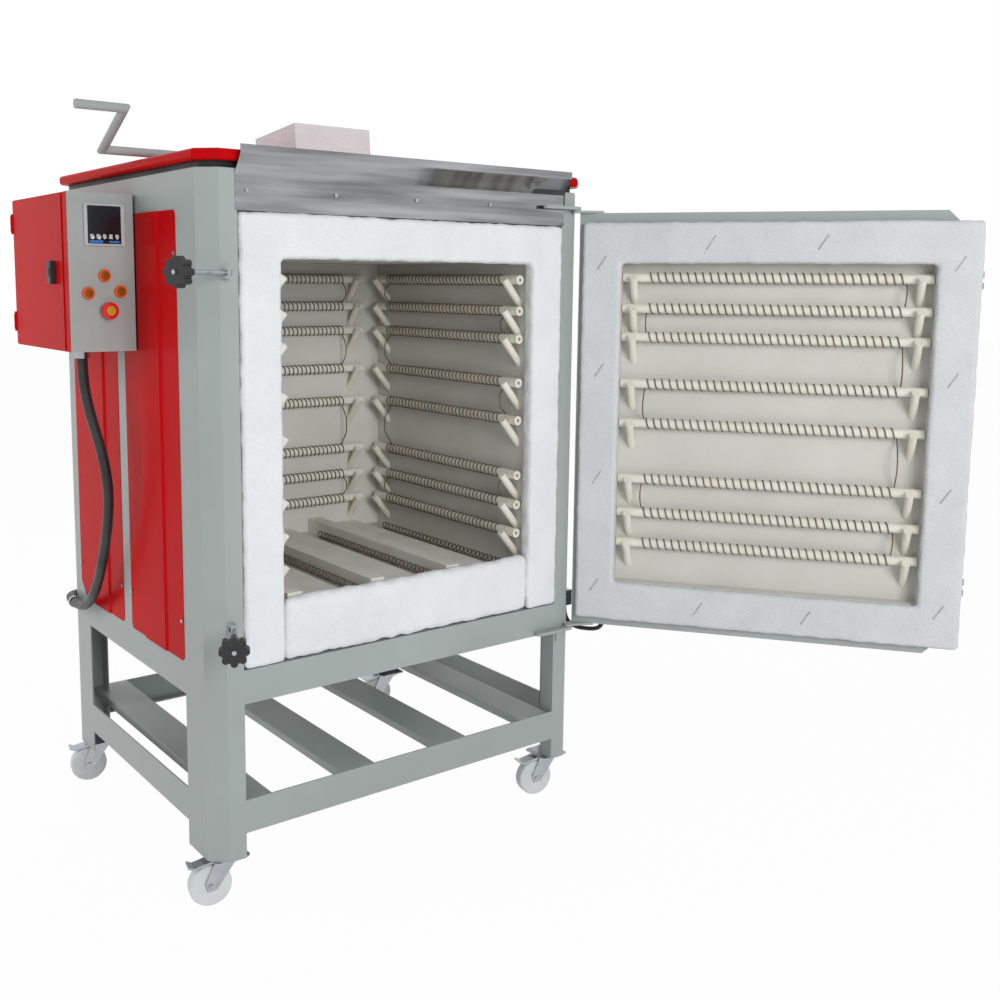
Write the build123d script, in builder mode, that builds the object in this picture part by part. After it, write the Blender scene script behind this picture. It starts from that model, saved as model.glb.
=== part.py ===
from build123d import *
import os
from math import atan2, cos, degrees, pi, radians, sin, sqrt, tan

# Front-loading ceramic kiln on a castored stand, in millimetres.
# X runs to the right as seen from the front, Y goes into the depth, Z is up, and the floor is at Z = 0.
# The model is drawn about the middle of the casing and moved onto its own box centre when it is written.

# Casing
body_width = 1106.0
body_depth = 936.0
caster_height = 118.0
post_top = 1691.0
post_chamfer = 38.0
post_front_leg = 43.0
post_side_leg = 103.0
post_return = 48.0
post_sheet = 3.0
casing_sheet = 2.0

# Rails and shelf bars
rail_height = 80.0
rail_depth = 40.0
rail_wall = 3.0
shelf_rail_wall = 4.0
shelf_rail_foot = 30.0
stand_rail_top = 569.0
shelf_rail_top = 258.0
bar_width = 100.0
bar_thickness = 20.0
bar_margin = 122.5
bar_offset = -22.0
bar_count = 4

# Red side panels, each a sheet with one broad pressed rib
panel_sheet = 1.5
panel_rib = 4.0
panel_rib_slope = 10.0
panel_rib_inset = 92.0
panel_corner = 14.0
panel_drop = 2.0
panel_top_margin = 84.0
panel_front_margin = 2.0
panel_mullion = 54.0
panel_rear_margin = 87.0
rear_panel_margin = 96.0
screw_head = 9.0
screw_rise = 3.0
screw_inset = 7.0
screw_margin = 96.0

# Roof cover, black vent gap and the folded heat shield over the door opening
gap_height = 15.0
gap_inset = 14.0
gap_wall = 20.0
cover_height = 25.0
cover_overhang = 8.0
cover_skin = 3.0
cover_rim = 20.0
cover_nose = 9.0
shield_lap = 5.0
shield_sheet = 1.5
shield_drop = 89.0
shield_plate = 80.0
shield_rise = 40.0
shield_lip = 18.0
shield_reach = 30.0
shield_screw_pitch = 225.0
shield_screw_rise = 44.0

# Fibre lining
casing_gap = 83.0
lining_side = 90.0
mouth_depth = 28.0
rear_space = 183.0
roof_space = 186.0
lining_back = 90.0
lining_roof = 100.0
blanket_proud = 10.0
blanket_edge = 9.0
opening_lap = 12.0
opening_drop = 5.0
blanket_foot = 4.0
blanket_head = 91.0

# Hearth
floor_rise = 111.0
beam_height = 42.0
beam_width = 40.0
beam_side = 38.0
last_groove_side = 26.0
beam_count = 3
slab_width = 125.0
slab_thickness = 18.0
slab_gap = 2.0
hearth_slack = 3.0

# Element carriers: ceramic tubes held in the crook of raked pegs
tube_radius = 12.0
tube_bore = 5.0
tube_stand_off = 22.0
peg_radius = 10.0
peg_rake = 50.0
peg_reach = 52.0
peg_clearance = 0.3
peg_end_inset = 30.0
tube_front_gap = 4.0
tube_back_gap = 30.0
tube_side_gap = 77.0
chamber_row_rises = [779.0, 697.0, 623.0, 506.0, 405.0, 256.0, 176.0, 98.0]
door_row_rises = [831.0, 749.0, 673.0, 547.0, 440.0, 287.0, 194.0, 109.0]
wire = 3.2
wire_clearance = 0.4
coil_loops = 24
coil_end = 43.0
link_inset = 4.0
floor_coil_radius = 10.0
floor_coil_gap = 85.0

# Door, drawn shut
door_open = 127.2
hinge_inset = 43.0
hinge_reach = 16.0
hinge_side_gap = 18.0
seal_gap = 4.0
door_bolt_gap = 9.0
door_foot = 38.0
door_head = 79.0
door_blanket = 26.0
door_recess_side = 104.0
door_recess_foot = 106.0
door_recess_head = 107.0
door_recess_depth = 62.0
pan_depth = 84.0
pan_sheet = 2.0
pan_foot = 21.0
pan_head = 26.0
pan_hinge_lip = 12.0
pan_free_margin = 51.0
pan_flange = 38.0
pan_corner = 32.0
board_clearance = 1.0
staple_length = 42.0
staple_wire = 2.4
staple_drops = [106.0, 392.0, 684.0, 984.0]
staple_inset = 53.0

# Hinges
hinge_plate = 8.0
hinge_plate_length = 102.0
hinge_half_width = 12.0
hinge_gap = 1.0
lug_thickness = 6.0
hinge_pin = 6.0
pin_clearance = 0.06
hinge_web_width = 30.0
hinge_web_height = 34.0

# Swing bolts
bolt_inset = 50.0
bolt_reach = 17.0
bolt_drop = 224.0
bolt_rise = 107.0
bolt_angles = [203.0, 244.0]
bolt_rod = 5.0
bolt_eye = 8.0
bolt_eye_thickness = 12.0
bolt_pin = 3.0
bolt_length = 166.0
knob_distance = 150.0
knob_radius = 33.0
knob_core = 26.0
knob_lobe = 8.0
knob_lobes = 8
knob_thickness = 24.0
knob_hub = 16.0
knob_hub_height = 6.0
washer_radius = 12.0
washer_thickness = 4.0
ear_thickness = 5.0
ear_left = 10.0
ear_right = 6.5
catch_depth = 86.0
catch_thickness = 6.0
catch_height = 44.0
catch_slot = 6.2

# Control box on the left side
box_gap = 6.0
box_width = 156.0
box_setback = 381.0
box_depth = 422.0
box_drop = 39.0
box_height = 371.0
box_sheet = 2.0
box_rim = 37.0
panel_plate = 3.0
controller_size = 96.0
controller_bezel = 7.0
controller_body = 90.0
controller_depth = 60.0
controller_left = 36.0
controller_top = 26.0
lamp_radius = 14.5
lamp_rise = 9.0
lamp_stem = 10.5
lamp_stem_depth = 26.0
lamp_offsets = [(3.5, 179.0), (-36.0, 138.0), (41.0, 142.0)]
stop_offset = (10.5, 97.0)
stop_radius = 20.0
stop_rise = 14.0
stop_gap = 10.0
stop_stem = 8.0
stop_stem_depth = 30.0
stop_clearance = 0.3
key_size = 8.0
key_pitch = 15.0
key_rise = 1.0
box_hinge_radius = 5.0
box_hinge_pin = 3.0
box_hinge_length = 40.0
box_hinge_inset = 60.0
latch_height = 55.0
latch_width = 28.0
latch_rise = 14.0
latch_hub = 10.0
latch_hub_rise = 1.5
latch_from_edge = 63.0
latch_centre = 186.0

# Vent flap and its crank on the roof
flap_x = -90.0
flap_width = 216.0
flap_front = -238.0
flap_depth = 210.0
flap_gap = 3.0
flap_height = 84.0
flap_tilt = 5.5
shaft_edge = 22.0
shaft_rise = 25.0
shaft_radius = 10.5
shaft_overhang = 60.0
shaft_tail = 3.0
crank_arm = 166.0
crank_angle = 152.0
crank_grip = 112.0
bearing_places = [-240.0, 60.0]
bearing_width = 24.0
bearing_length = 44.0
bearing_crown = 16.0
flue_bore = 40.0
flue_wall = 20.0
flue_y = -135.0

# Casters
caster_inset = 53.0
caster_plate = 86.0
caster_plate_thickness = 4.0
wheel_radius = 50.0
wheel_width = 32.0
wheel_bore = 6.0
wheel_crown = 6.0
caster_trail = 40.0
caster_turn = 168.0
fork_sheet = 3.0
fork_gap = 2.0
fork_leg = 34.0
fork_head = 30.0
fork_head_height = 10.0
pedal_width = 34.0
pedal_reach = 62.0
pedal_sheet = 3.0
pedal_gap = 0.6
pedal_barrel = 4.0
pedal_pivot_height = 107.5

# Leads
conduit_radius = 13.0
cable_radius = 6.0
conduit_points = [
    (-650, 34, 1259),
    (-650, 34, 1200),
    (-641, 12, 1116),
    (-626, -19, 1030),
    (-615, -27, 940),
    (-608, 4, 850),
    (-603, 54, 760),
    (-598, 116, 672),
    (-592, 192, 602),
    (-586, 276, 562),
    (-579, 352, 549),
    (-572, 426, 545),
    (-556, 478, 543),
    (-516, 486, 543),
]
cable_points = [
    (570, -404, 538),
    (570, -404, 501),
    (586, -425.6, 474),
    (609.2, -457.1, 471),
    (627.3, -481.6, 474),
    (635, -492, 487),
    (635, -492, 498),
]

# Values that follow from the ones above
half_width = body_width / 2
half_depth = body_depth / 2
front_face = -half_depth
post_inner_x = half_width - post_chamfer - post_front_leg
post_inner_y = half_depth - post_chamfer - post_side_leg
bar_pitch = (body_width - 2 * bar_margin) / (bar_count - 1)
cover_bottom = post_top + gap_height
cover_top = cover_bottom + cover_height
header_bottom = post_top - rail_height
panel_bottom = stand_rail_top - panel_drop
panel_top = post_top - panel_top_margin
panel_start = -post_inner_y + panel_front_margin
panel_width = (half_depth - panel_rear_margin - panel_start - panel_mullion) / 2
rear_panel_width = half_width - rear_panel_margin - panel_mullion / 2
screw_low = panel_bottom + screw_margin
screw_high = panel_top - screw_margin
shield_width = 2 * (post_inner_x + shield_lap)
shield_bottom = post_top - shield_drop
shield_fold = shield_bottom + shield_plate
shield_nose = shield_fold + shield_rise
shield_top = shield_nose + shield_lip
shield_screw_height = shield_bottom + shield_screw_rise
lining_half = half_width - casing_gap
chamber_half = lining_half - lining_side
chamber_front = front_face + mouth_depth
chamber_back = half_depth - rear_space
chamber_roof = post_top - roof_space
lining_top = chamber_roof + lining_roof
lining_base = stand_rail_top + casing_sheet
hearth_floor = stand_rail_top + floor_rise
opening_half = chamber_half - opening_lap
opening_bottom = hearth_floor + beam_height
opening_top = chamber_roof - opening_drop
blanket_bottom = stand_rail_top + blanket_foot
blanket_top = post_top - blanket_head
blanket_face = front_face - blanket_proud
beam_first = beam_side - chamber_half
beam_pitch = (2 * chamber_half - beam_side - last_groove_side) / beam_count
side_tube_front = chamber_front + tube_front_gap
side_tube_back = chamber_back - tube_back_gap
rear_tube_half = chamber_half - tube_side_gap
floor_coil_back = chamber_back - floor_coil_gap
chamber_rows = [hearth_floor + rise for rise in chamber_row_rises]
hinge_x = half_width - hinge_inset
hinge_y = front_face - hinge_reach
bolt_x = bolt_inset - half_width
bolt_y = front_face - bolt_reach
bolt_heights = [post_top - bolt_drop, stand_rail_top + bolt_rise]
ear_outer = bolt_x - ear_left
ear_inner = bolt_x + ear_right
door_edge = hinge_x - hinge_side_gap
door_free_edge = bolt_x + door_bolt_gap
door_width = door_edge - door_free_edge
door_bottom = stand_rail_top - door_foot
door_top = post_top - door_head
door_recess_bottom = door_bottom + door_recess_foot
door_recess_top = door_top - door_recess_head
door_rows = [door_recess_bottom + rise for rise in door_row_rises]
door_face = blanket_face - seal_gap
pan_bottom = door_bottom - pan_foot
pan_top = door_top + pan_head
pan_width = door_width + pan_hinge_lip - pan_free_margin
pan_face = door_face - door_blanket
pan_back = pan_face - pan_depth
board_face = pan_face - pan_sheet - board_clearance
recess_floor = door_face - door_recess_depth
pan_hinge_edge = door_edge + pan_hinge_lip
pan_free_edge = pan_hinge_edge - pan_width
box_right = -half_width - box_gap
box_front = front_face + box_setback
box_top = post_top - box_drop
box_bottom = box_top - box_height
box_middle = box_right - box_width / 2
lamp_places = [(box_middle + x, box_bottom + z) for x, z in lamp_offsets]
stop_place = (box_middle + stop_offset[0], box_bottom + stop_offset[1])
latch_z = box_bottom + latch_centre
flap_bottom = cover_top + flap_gap
shaft_y = flap_front + flap_depth - shaft_edge
shaft_z = cover_top + shaft_rise
shaft_left = -half_width - shaft_overhang
shaft_right = bearing_places[-1] + bearing_width / 2 + shaft_tail
caster_x = half_width - caster_inset
caster_y = half_depth - caster_inset
hinge_axis = Axis((hinge_x, hinge_y, 0), (0, 0, 1))
wheel_axle_z = wheel_radius

cord_nodes = ["control_conduit", "door_cable"]
pieces = {}


def keep(name, builder):
    """Stores a finished sub-part under its node name."""
    pieces[name] = builder.part if hasattr(builder, "part") else builder


def swing(builder):
    """Turns a door piece from shut to the angle it stands open at."""
    return builder.part.rotate(hinge_axis, door_open)


def casing_outline(inset):
    """Plan outline of the casing with its four chamfered corners, moved in by the inset."""
    w = half_width - inset
    d = half_depth - inset
    c = post_chamfer - inset * (2 - sqrt(2))
    quarter = [(w, d - c), (w - c, d)]
    left = [(-x, y) for x, y in reversed(quarter)]
    below = [(-x, -y) for x, y in quarter]
    right = [(x, -y) for x, y in reversed(quarter)]
    return quarter + left + below + right


def block(low, high):
    """Adds a box between two corners to the open part."""
    size = [h - l for l, h in zip(low, high)]
    centre = [(l + h) / 2 for l, h in zip(low, high)]
    with Locations(tuple(centre)):
        Box(*size)


# Four folded corner posts
with BuildPart() as corner_posts:
    with BuildSketch(Plane.XY.offset(caster_height)):
        bend = post_sheet * tan(radians(22.5))
        x0 = -half_width
        y0 = -half_depth
        with BuildLine():
            Polyline(
                (-post_inner_x, y0),
                (x0 + post_chamfer, y0),
                (x0, y0 + post_chamfer),
                (x0, -post_inner_y),
                (x0 + post_sheet, -post_inner_y),
                (x0 + post_sheet, y0 + post_chamfer + bend),
                (x0 + post_chamfer + bend, y0 + post_sheet),
                (-post_inner_x - post_sheet, y0 + post_sheet),
                (-post_inner_x - post_sheet, y0 + post_return),
                (-post_inner_x, y0 + post_return),
                close=True,
            )
        make_face()
        mirror(about=Plane.YZ)
        mirror(about=Plane.XZ)
    extrude(amount=post_top - caster_height)
keep("corner_posts", corner_posts)

# Box-section rails at the top and under the chamber, and angle rails round the shelf, flush with the posts
with BuildPart() as frame_rails:
    for side in (-1, 1):
        web = side * (half_depth - shelf_rail_wall / 2)
        foot = side * (half_depth - shelf_rail_foot / 2)
        with BuildSketch(Plane.YZ.offset(-post_inner_x)):
            with Locations((web, shelf_rail_top - rail_height / 2)):
                Rectangle(shelf_rail_wall, rail_height)
            with Locations((foot, shelf_rail_top - rail_height + shelf_rail_wall / 2)):
                Rectangle(shelf_rail_foot, shelf_rail_wall)
        extrude(amount=2 * post_inner_x)
        web = side * (half_width - shelf_rail_wall / 2)
        foot = side * (half_width - shelf_rail_foot / 2)
        with BuildSketch(Plane.XZ.offset(-post_inner_y)):
            with Locations((web, shelf_rail_top - rail_height / 2)):
                Rectangle(shelf_rail_wall, rail_height)
            with Locations((foot, shelf_rail_top - rail_height + shelf_rail_wall / 2)):
                Rectangle(shelf_rail_foot, shelf_rail_wall)
        extrude(amount=2 * post_inner_y)
    for top in (stand_rail_top, post_top):
        middle = top - rail_height / 2
        for side in (-1, 1):
            with BuildSketch(Plane.YZ.offset(-post_inner_x)):
                with Locations((side * (half_depth - rail_depth / 2), middle)):
                    Rectangle(rail_depth, rail_height)
                    Rectangle(rail_depth - 2 * rail_wall, rail_height - 2 * rail_wall, mode=Mode.SUBTRACT)
            extrude(amount=2 * post_inner_x)
            with BuildSketch(Plane.XZ.offset(-post_inner_y)):
                with Locations((side * (half_width - rail_depth / 2), middle)):
                    Rectangle(rail_depth, rail_height)
                    Rectangle(rail_depth - 2 * rail_wall, rail_height - 2 * rail_wall, mode=Mode.SUBTRACT)
            extrude(amount=2 * post_inner_y)
keep("frame_rails", frame_rails)

# Four flat bars between the shelf rails, notched round the flanges of the posts
with BuildPart() as shelf_bars:
    reach = half_depth - shelf_rail_wall
    for i in range(bar_count):
        x = bar_offset + (i - (bar_count - 1) / 2) * bar_pitch
        low = (x - bar_width / 2, -reach, shelf_rail_top - bar_thickness)
        block(low, (x + bar_width / 2, reach, shelf_rail_top))
    edges_along = edges().filter_by(Axis.Y).group_by(Axis.Z)[-1]
    fillet(edges_along, 3)
    add(corner_posts.part, mode=Mode.SUBTRACT)
keep("shelf_bars", shelf_bars)

# Grey casing sheets behind the red panels, and the base sheet under the lining
with BuildPart() as casing_sheets:
    for side in (-1, 1):
        x_out = side * half_width
        x_in = side * (half_width - casing_sheet)
        low = (min(x_out, x_in), -post_inner_y, stand_rail_top)
        block(low, (max(x_out, x_in), post_inner_y, header_bottom))
    block((-post_inner_x, half_depth - casing_sheet, stand_rail_top), (post_inner_x, half_depth, header_bottom))
    base_reach = half_depth - rail_depth / 2 - 8
    block((-lining_half, -base_reach, stand_rail_top), (lining_half, base_reach, lining_base))
keep("casing_sheets", casing_sheets)


def rib_profile(width):
    """Section of a panel across its width, its back on the line y = 0, with one broad pressed rib."""
    a = panel_rib_inset
    b = panel_rib_inset + panel_rib_slope
    outer = [(0, 0), (a, 0), (b, panel_rib), (width - b, panel_rib), (width - a, 0), (width, 0)]
    inner = [(x, y + panel_sheet) for x, y in reversed(outer)]
    return outer + inner


def ribbed_panel(width, cut_corner):
    """A red panel standing at the origin, its back on the XZ plane and its rib towards -Y."""
    with BuildPart() as panel:
        with BuildSketch(Plane.XY.offset(panel_bottom)):
            with BuildLine():
                Polyline(*[(x, -y) for x, y in rib_profile(width)], close=True)
            make_face()
        extrude(amount=panel_top - panel_bottom)
        with BuildSketch(Plane.XZ) as elevation:
            with Locations((width / 2, (panel_bottom + panel_top) / 2)):
                Rectangle(width, panel_top - panel_bottom)
            corners = elevation.vertices()
            low_left = corners.sort_by(lambda v: v.X + v.Y)[0]
            rest = [v for v in corners if v is not low_left]
            if cut_corner:
                fillet(rest, panel_corner)
                chamfer(elevation.vertices().sort_by(lambda v: v.X + v.Y)[0], 3 * panel_corner)
            else:
                fillet(corners, panel_corner)
        extrude(amount=2 * panel_rib + 2 * panel_sheet, mode=Mode.INTERSECT)
    return panel.part


panel_starts = [panel_start, panel_start + panel_width + panel_mullion]

# Red panels: two on each side and two at the back
with BuildPart() as red_panels:
    for i, start in enumerate(panel_starts):
        left_form = ribbed_panel(panel_width, i == 1)
        right_form = ribbed_panel(panel_width, False)
        with Locations(Location((-half_width, start + panel_width, 0), (0, 0, -90))):
            add(left_form)
        with Locations(Location((half_width, start, 0), (0, 0, 90))):
            add(right_form)
    rear_form = ribbed_panel(rear_panel_width, False)
    for x in (-panel_mullion / 2, rear_panel_width + panel_mullion / 2):
        with Locations(Location((x, half_depth, 0), (0, 0, 180))):
            add(rear_form)
keep("red_panels", red_panels)

# Button-head screws of the panels and of the heat shield
with BuildPart() as body_screws:
    for z in (screw_low, screw_high):
        for start in panel_starts:
            for y in (start + screw_inset, start + panel_width - screw_inset):
                for side in (-1, 1):
                    face = Plane((side * (half_width + panel_sheet), y, z), z_dir=(side, 0, 0))
                    with BuildSketch(face):
                        Circle(screw_head / 2)
                    extrude(amount=screw_rise)
        for x in (panel_mullion / 2, panel_mullion / 2 + rear_panel_width):
            for side in (-1, 1):
                at = x + screw_inset if x < rear_panel_width / 2 else x - screw_inset
                with BuildSketch(Plane((side * at, half_depth + panel_sheet, z), z_dir=(0, 1, 0))):
                    Circle(screw_head / 2)
                extrude(amount=screw_rise)
    for i in range(-2, 2):
        spot = (i * shield_screw_pitch, front_face - shield_sheet, shield_screw_height)
        with BuildSketch(Plane(spot, z_dir=(0, -1, 0))):
            Circle(screw_head / 2)
        extrude(amount=screw_rise)
keep("body_screws", body_screws)

# Black band that shows in the vent gap under the cover
with BuildPart() as gap_band:
    with BuildSketch(Plane.XY.offset(post_top)):
        with BuildLine():
            Polyline(*casing_outline(gap_inset), close=True)
        make_face()
        with BuildLine():
            Polyline(*casing_outline(gap_inset + gap_wall), close=True)
        make_face(mode=Mode.SUBTRACT)
    extrude(amount=gap_height)
keep("gap_band", gap_band)

# Red cover with its rounded rim, open below, and a hole for the flue
with BuildPart() as top_cover:
    with BuildSketch(Plane.XY.offset(cover_bottom)):
        with BuildLine():
            Polyline(*casing_outline(-cover_overhang), close=True)
        make_face()
    extrude(amount=cover_height)
    rim_edges = edges().filter_by(Axis.Z, reverse=True)
    fillet(rim_edges, cover_nose)
    with BuildSketch(Plane.XY.offset(cover_bottom)):
        with BuildLine():
            Polyline(*casing_outline(cover_rim - cover_overhang), close=True)
        make_face()
    extrude(amount=cover_height - cover_skin, mode=Mode.SUBTRACT)
    with Locations((flap_x, flue_y, cover_top)):
        Cylinder(flue_bore + flue_wall + 1, 4 * cover_skin, mode=Mode.SUBTRACT)
keep("top_cover", top_cover)

# Polished heat shield, folded out over the door opening
shield_line = [
    (front_face, shield_bottom),
    (front_face, shield_fold),
    (front_face - shield_reach, shield_nose),
    (front_face - shield_reach, shield_top),
]
with BuildPart() as heat_shield:
    with BuildSketch(Plane.YZ.offset(-shield_width / 2)):
        lean = atan2(shield_nose - shield_fold, shield_reach)
        drop = shield_sheet * tan((pi / 2 - lean) / 2)
        with BuildLine():
            Polyline(
                *shield_line,
                (front_face - shield_reach - shield_sheet, shield_top),
                (front_face - shield_reach - shield_sheet, shield_nose - drop),
                (front_face - shield_sheet, shield_fold - drop),
                (front_face - shield_sheet, shield_bottom),
                close=True,
            )
        make_face()
    extrude(amount=shield_width)
keep("heat_shield", heat_shield)

# Fibre frame round the opening: one bent-over piece, and the sill as a piece of its own
with BuildPart() as front_blanket:
    with BuildSketch(Plane.XZ.offset(-chamber_front)) as frame_sketch:
        with Locations((0, (opening_bottom + blanket_top) / 2)):
            Rectangle(2 * lining_half, blanket_top - opening_bottom)
        with Locations((0, (opening_bottom + opening_top) / 2)):
            Rectangle(2 * opening_half, opening_top - opening_bottom, mode=Mode.SUBTRACT)
    extrude(amount=chamber_front - blanket_face)
    fillet(faces().sort_by(Axis.Y)[0].edges(), blanket_edge)
keep("front_blanket", front_blanket)

with BuildPart() as front_sill:
    block((-lining_half, blanket_face, blanket_bottom), (lining_half, chamber_front, opening_bottom))
    fillet(faces().sort_by(Axis.Y)[0].edges(), blanket_edge)
keep("front_sill", front_sill)

# Lining of the chamber: two sides, back, roof with the flue, and floor
with BuildPart() as chamber_walls:
    lining_rear = chamber_back + lining_back
    for side in (-1, 1):
        xs = sorted((side * chamber_half, side * lining_half))
        block((xs[0], chamber_front, lining_base), (xs[1], lining_rear, lining_top))
    block((-chamber_half, chamber_back, lining_base), (chamber_half, lining_rear, lining_top))
    block((-chamber_half, chamber_front, chamber_roof), (chamber_half, chamber_back, lining_top))
    flue_height = flap_bottom - 0.5 - chamber_roof
    with BuildSketch(Plane.XY.offset(lining_top)):
        with Locations((flap_x, flue_y)):
            Circle(flue_bore + flue_wall)
    extrude(amount=flue_height - lining_roof)
    with BuildSketch(Plane.XY.offset(chamber_roof)):
        with Locations((flap_x, flue_y)):
            Circle(flue_bore)
    extrude(amount=flue_height, mode=Mode.SUBTRACT)
keep("chamber_walls", chamber_walls)

with BuildPart() as chamber_floor:
    block((-chamber_half, chamber_front, lining_base), (chamber_half, chamber_back, hearth_floor))
keep("chamber_floor", chamber_floor)

beam_lefts = [beam_first + i * beam_pitch for i in range(beam_count)]
hearth_front = chamber_front + hearth_slack
hearth_back = chamber_back - hearth_slack

# Hearth: front-to-back beams with a white slab in the groove beside each
with BuildPart() as hearth:
    for left in beam_lefts:
        right = left + beam_width
        block((left, hearth_front, hearth_floor), (right, hearth_back, hearth_floor + beam_height))
        start = right + slab_gap
        block((start, hearth_front, hearth_floor), (start + slab_width, hearth_back, hearth_floor + slab_thickness))
keep("hearth", hearth)


def tube_form(length):
    """A carrier tube along Y from the origin."""
    with BuildPart() as tube:
        with BuildSketch(Plane.XZ):
            Circle(tube_radius)
            Circle(tube_bore, mode=Mode.SUBTRACT)
        extrude(amount=-length)
    return tube.part


def peg_form():
    """A raked peg on a wall at X = 0 that faces +X; the carrier's axis is at Z = 0."""
    rake = radians(peg_rake)
    gap = tube_radius + peg_radius + peg_clearance
    drop = (gap + tube_stand_off * sin(rake)) / cos(rake)
    length = peg_reach / cos(rake)
    back = 2 * peg_radius
    start = (-back * cos(rake), 0, -drop - back * sin(rake))
    with BuildPart() as peg:
        with BuildSketch(Plane(start, z_dir=(cos(rake), 0, sin(rake)))):
            Circle(peg_radius)
        extrude(amount=length + back)
        with Locations((-2 * back, 0, -drop)):
            Box(4 * back, 4 * back, 8 * back, mode=Mode.SUBTRACT)
    return peg.part


def biarc(start, start_way, end, end_way):
    """Two arcs that leave along one direction and arrive along another."""
    chord = end - start
    ways = start_way + end_way
    spread = 2 * (1 - start_way.dot(end_way))
    along = chord.dot(ways)
    reach = (-along + sqrt(along * along + spread * chord.dot(chord))) / spread
    knee_a = start + start_way * reach
    knee_b = end - end_way * reach
    joint = (knee_a + knee_b) * 0.5
    TangentArc(start, joint, tangent=start_way)
    TangentArc(joint, end, tangent=(knee_b - knee_a).normalized())


def coil_form(length, loops, radius):
    """One unbroken wire wound about the Y axis from the origin, with short straight ends."""
    pitch = length / loops
    turn_length = sqrt((2 * pi * radius) ** 2 + pitch**2)

    def place(turn):
        angle = 2 * pi * turn
        return Vector(radius * sin(angle), pitch * turn, -radius * cos(angle))

    def way(turn):
        angle = 2 * pi * turn
        across = 2 * pi * radius / turn_length
        return Vector(across * cos(angle), pitch / turn_length, across * sin(angle))

    with BuildPart() as coil:
        with BuildLine() as path:
            Line(place(0) - way(0) * wire, place(0))
            for half in range(2 * loops):
                biarc(place(half / 2), way(half / 2), place(half / 2 + 0.5), way(half / 2 + 0.5))
            Line(place(loops), place(loops) + way(loops) * wire)
        with BuildSketch(Plane(place(0) - way(0) * wire, z_dir=way(0))):
            Circle(wire / 2)
        sweep()
    return coil.part


def least_coil_gap(length, loops, radius):
    """Least gap between neighbouring loops of a coil, measured on points of two loops."""
    steps = 90
    spots = []
    for i in range(2 * steps):
        angle = 2 * pi * i / steps
        spots.append(Vector(radius * sin(angle), length / loops * i / steps, -radius * cos(angle)))
    apart = steps // 2
    gaps = [(a - b).length for i, a in enumerate(spots) for b in spots[i + apart:]]
    return min(gaps) - wire


def sleeve_form(length):
    """A winding along Y from the origin, as a plain sleeve of its outer shape."""
    with BuildPart() as sleeve:
        with BuildSketch(Plane.XZ):
            Circle(sleeve_radius)
            Circle(tube_radius + wire_clearance, mode=Mode.SUBTRACT)
        extrude(amount=-length)
    return sleeve.part


sleeve_radius = tube_radius + wire_clearance + wire
side_tube_length = side_tube_back - side_tube_front
side_coil_length = side_tube_length - 2 * coil_end
rear_coil_length = 2 * rear_tube_half - 2 * coil_end
door_tube_length = door_width - 2 * door_recess_side - 4
door_coil_length = door_tube_length - 2 * coil_end
wall_line = chamber_half - tube_stand_off
rear_line = chamber_back - tube_stand_off

side_tube = tube_form(side_tube_length)
rear_tube = tube_form(2 * rear_tube_half)
door_tube = tube_form(door_tube_length)
peg = peg_form()
side_coil = sleeve_form(side_coil_length)
rear_coil = sleeve_form(rear_coil_length)
door_coil = sleeve_form(door_coil_length)

# Carrier tubes on the two side walls and the back wall
with BuildPart() as wall_tubes:
    for z in chamber_rows:
        for side in (-1, 1):
            with Locations((side * wall_line, side_tube_front, z)):
                add(side_tube)
        with Locations(Location((rear_tube_half, rear_line, z), (0, 0, 90))):
            add(rear_tube)
keep("wall_tubes", wall_tubes)

with BuildPart() as wall_pegs:
    for z in chamber_rows:
        for y in (side_tube_front + peg_end_inset, side_tube_back - peg_end_inset):
            with Locations((-chamber_half, y, z)):
                add(peg)
            with Locations(Location((chamber_half, y, z), (0, 0, 180))):
                add(peg)
        for x in (peg_end_inset - rear_tube_half, rear_tube_half - peg_end_inset):
            with Locations(Location((x, chamber_back, z), (0, 0, -90))):
                add(peg)
keep("wall_pegs", wall_pegs)

# Heating wires: one winding a tube, with the upright links between rows
link_clear = sleeve_radius - wire / 3


def link(x, y, high, low):
    """Adds an upright wire from the underside of one winding to the top of the next."""
    with BuildSketch(Plane.XY.offset(low + link_clear)) as section:
        with Locations((x, y)):
            Circle(wire / 2)
    extrude(section.sketch, amount=high - low - 2 * link_clear)


with BuildPart() as wall_coils:
    for row, z in enumerate(chamber_rows):
        for side in (-1, 1):
            with Locations((side * wall_line, side_tube_front + coil_end, z)):
                add(side_coil)
        with Locations(Location((rear_tube_half - coil_end, rear_line, z), (0, 0, 90))):
            add(rear_coil)
        if row > 0:
            above = chamber_rows[row - 1]
            at_start = row % 2 == 0
            turn_at = coil_end + link_inset
            y = side_tube_front + turn_at if at_start else side_tube_back - turn_at
            for side in (-1, 1):
                link(side * wall_line, y, above, z)
            x = rear_tube_half - turn_at if at_start else turn_at - rear_tube_half
            link(x, rear_line, above, z)
keep("wall_coils", wall_coils)

floor_coil_length = floor_coil_back - hearth_front
floor_coil = coil_form(floor_coil_length, coil_loops, floor_coil_radius)
floor_coil_z = hearth_floor + floor_coil_radius + wire / 2 + wire_clearance
with BuildPart() as floor_coils:
    for left in beam_lefts:
        x = left + beam_pitch - floor_coil_radius - wire / 2 - 4
        with Locations((x, hearth_front + 2 * wire, floor_coil_z)):
            add(floor_coil)
keep("floor_coils", floor_coils)


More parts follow.
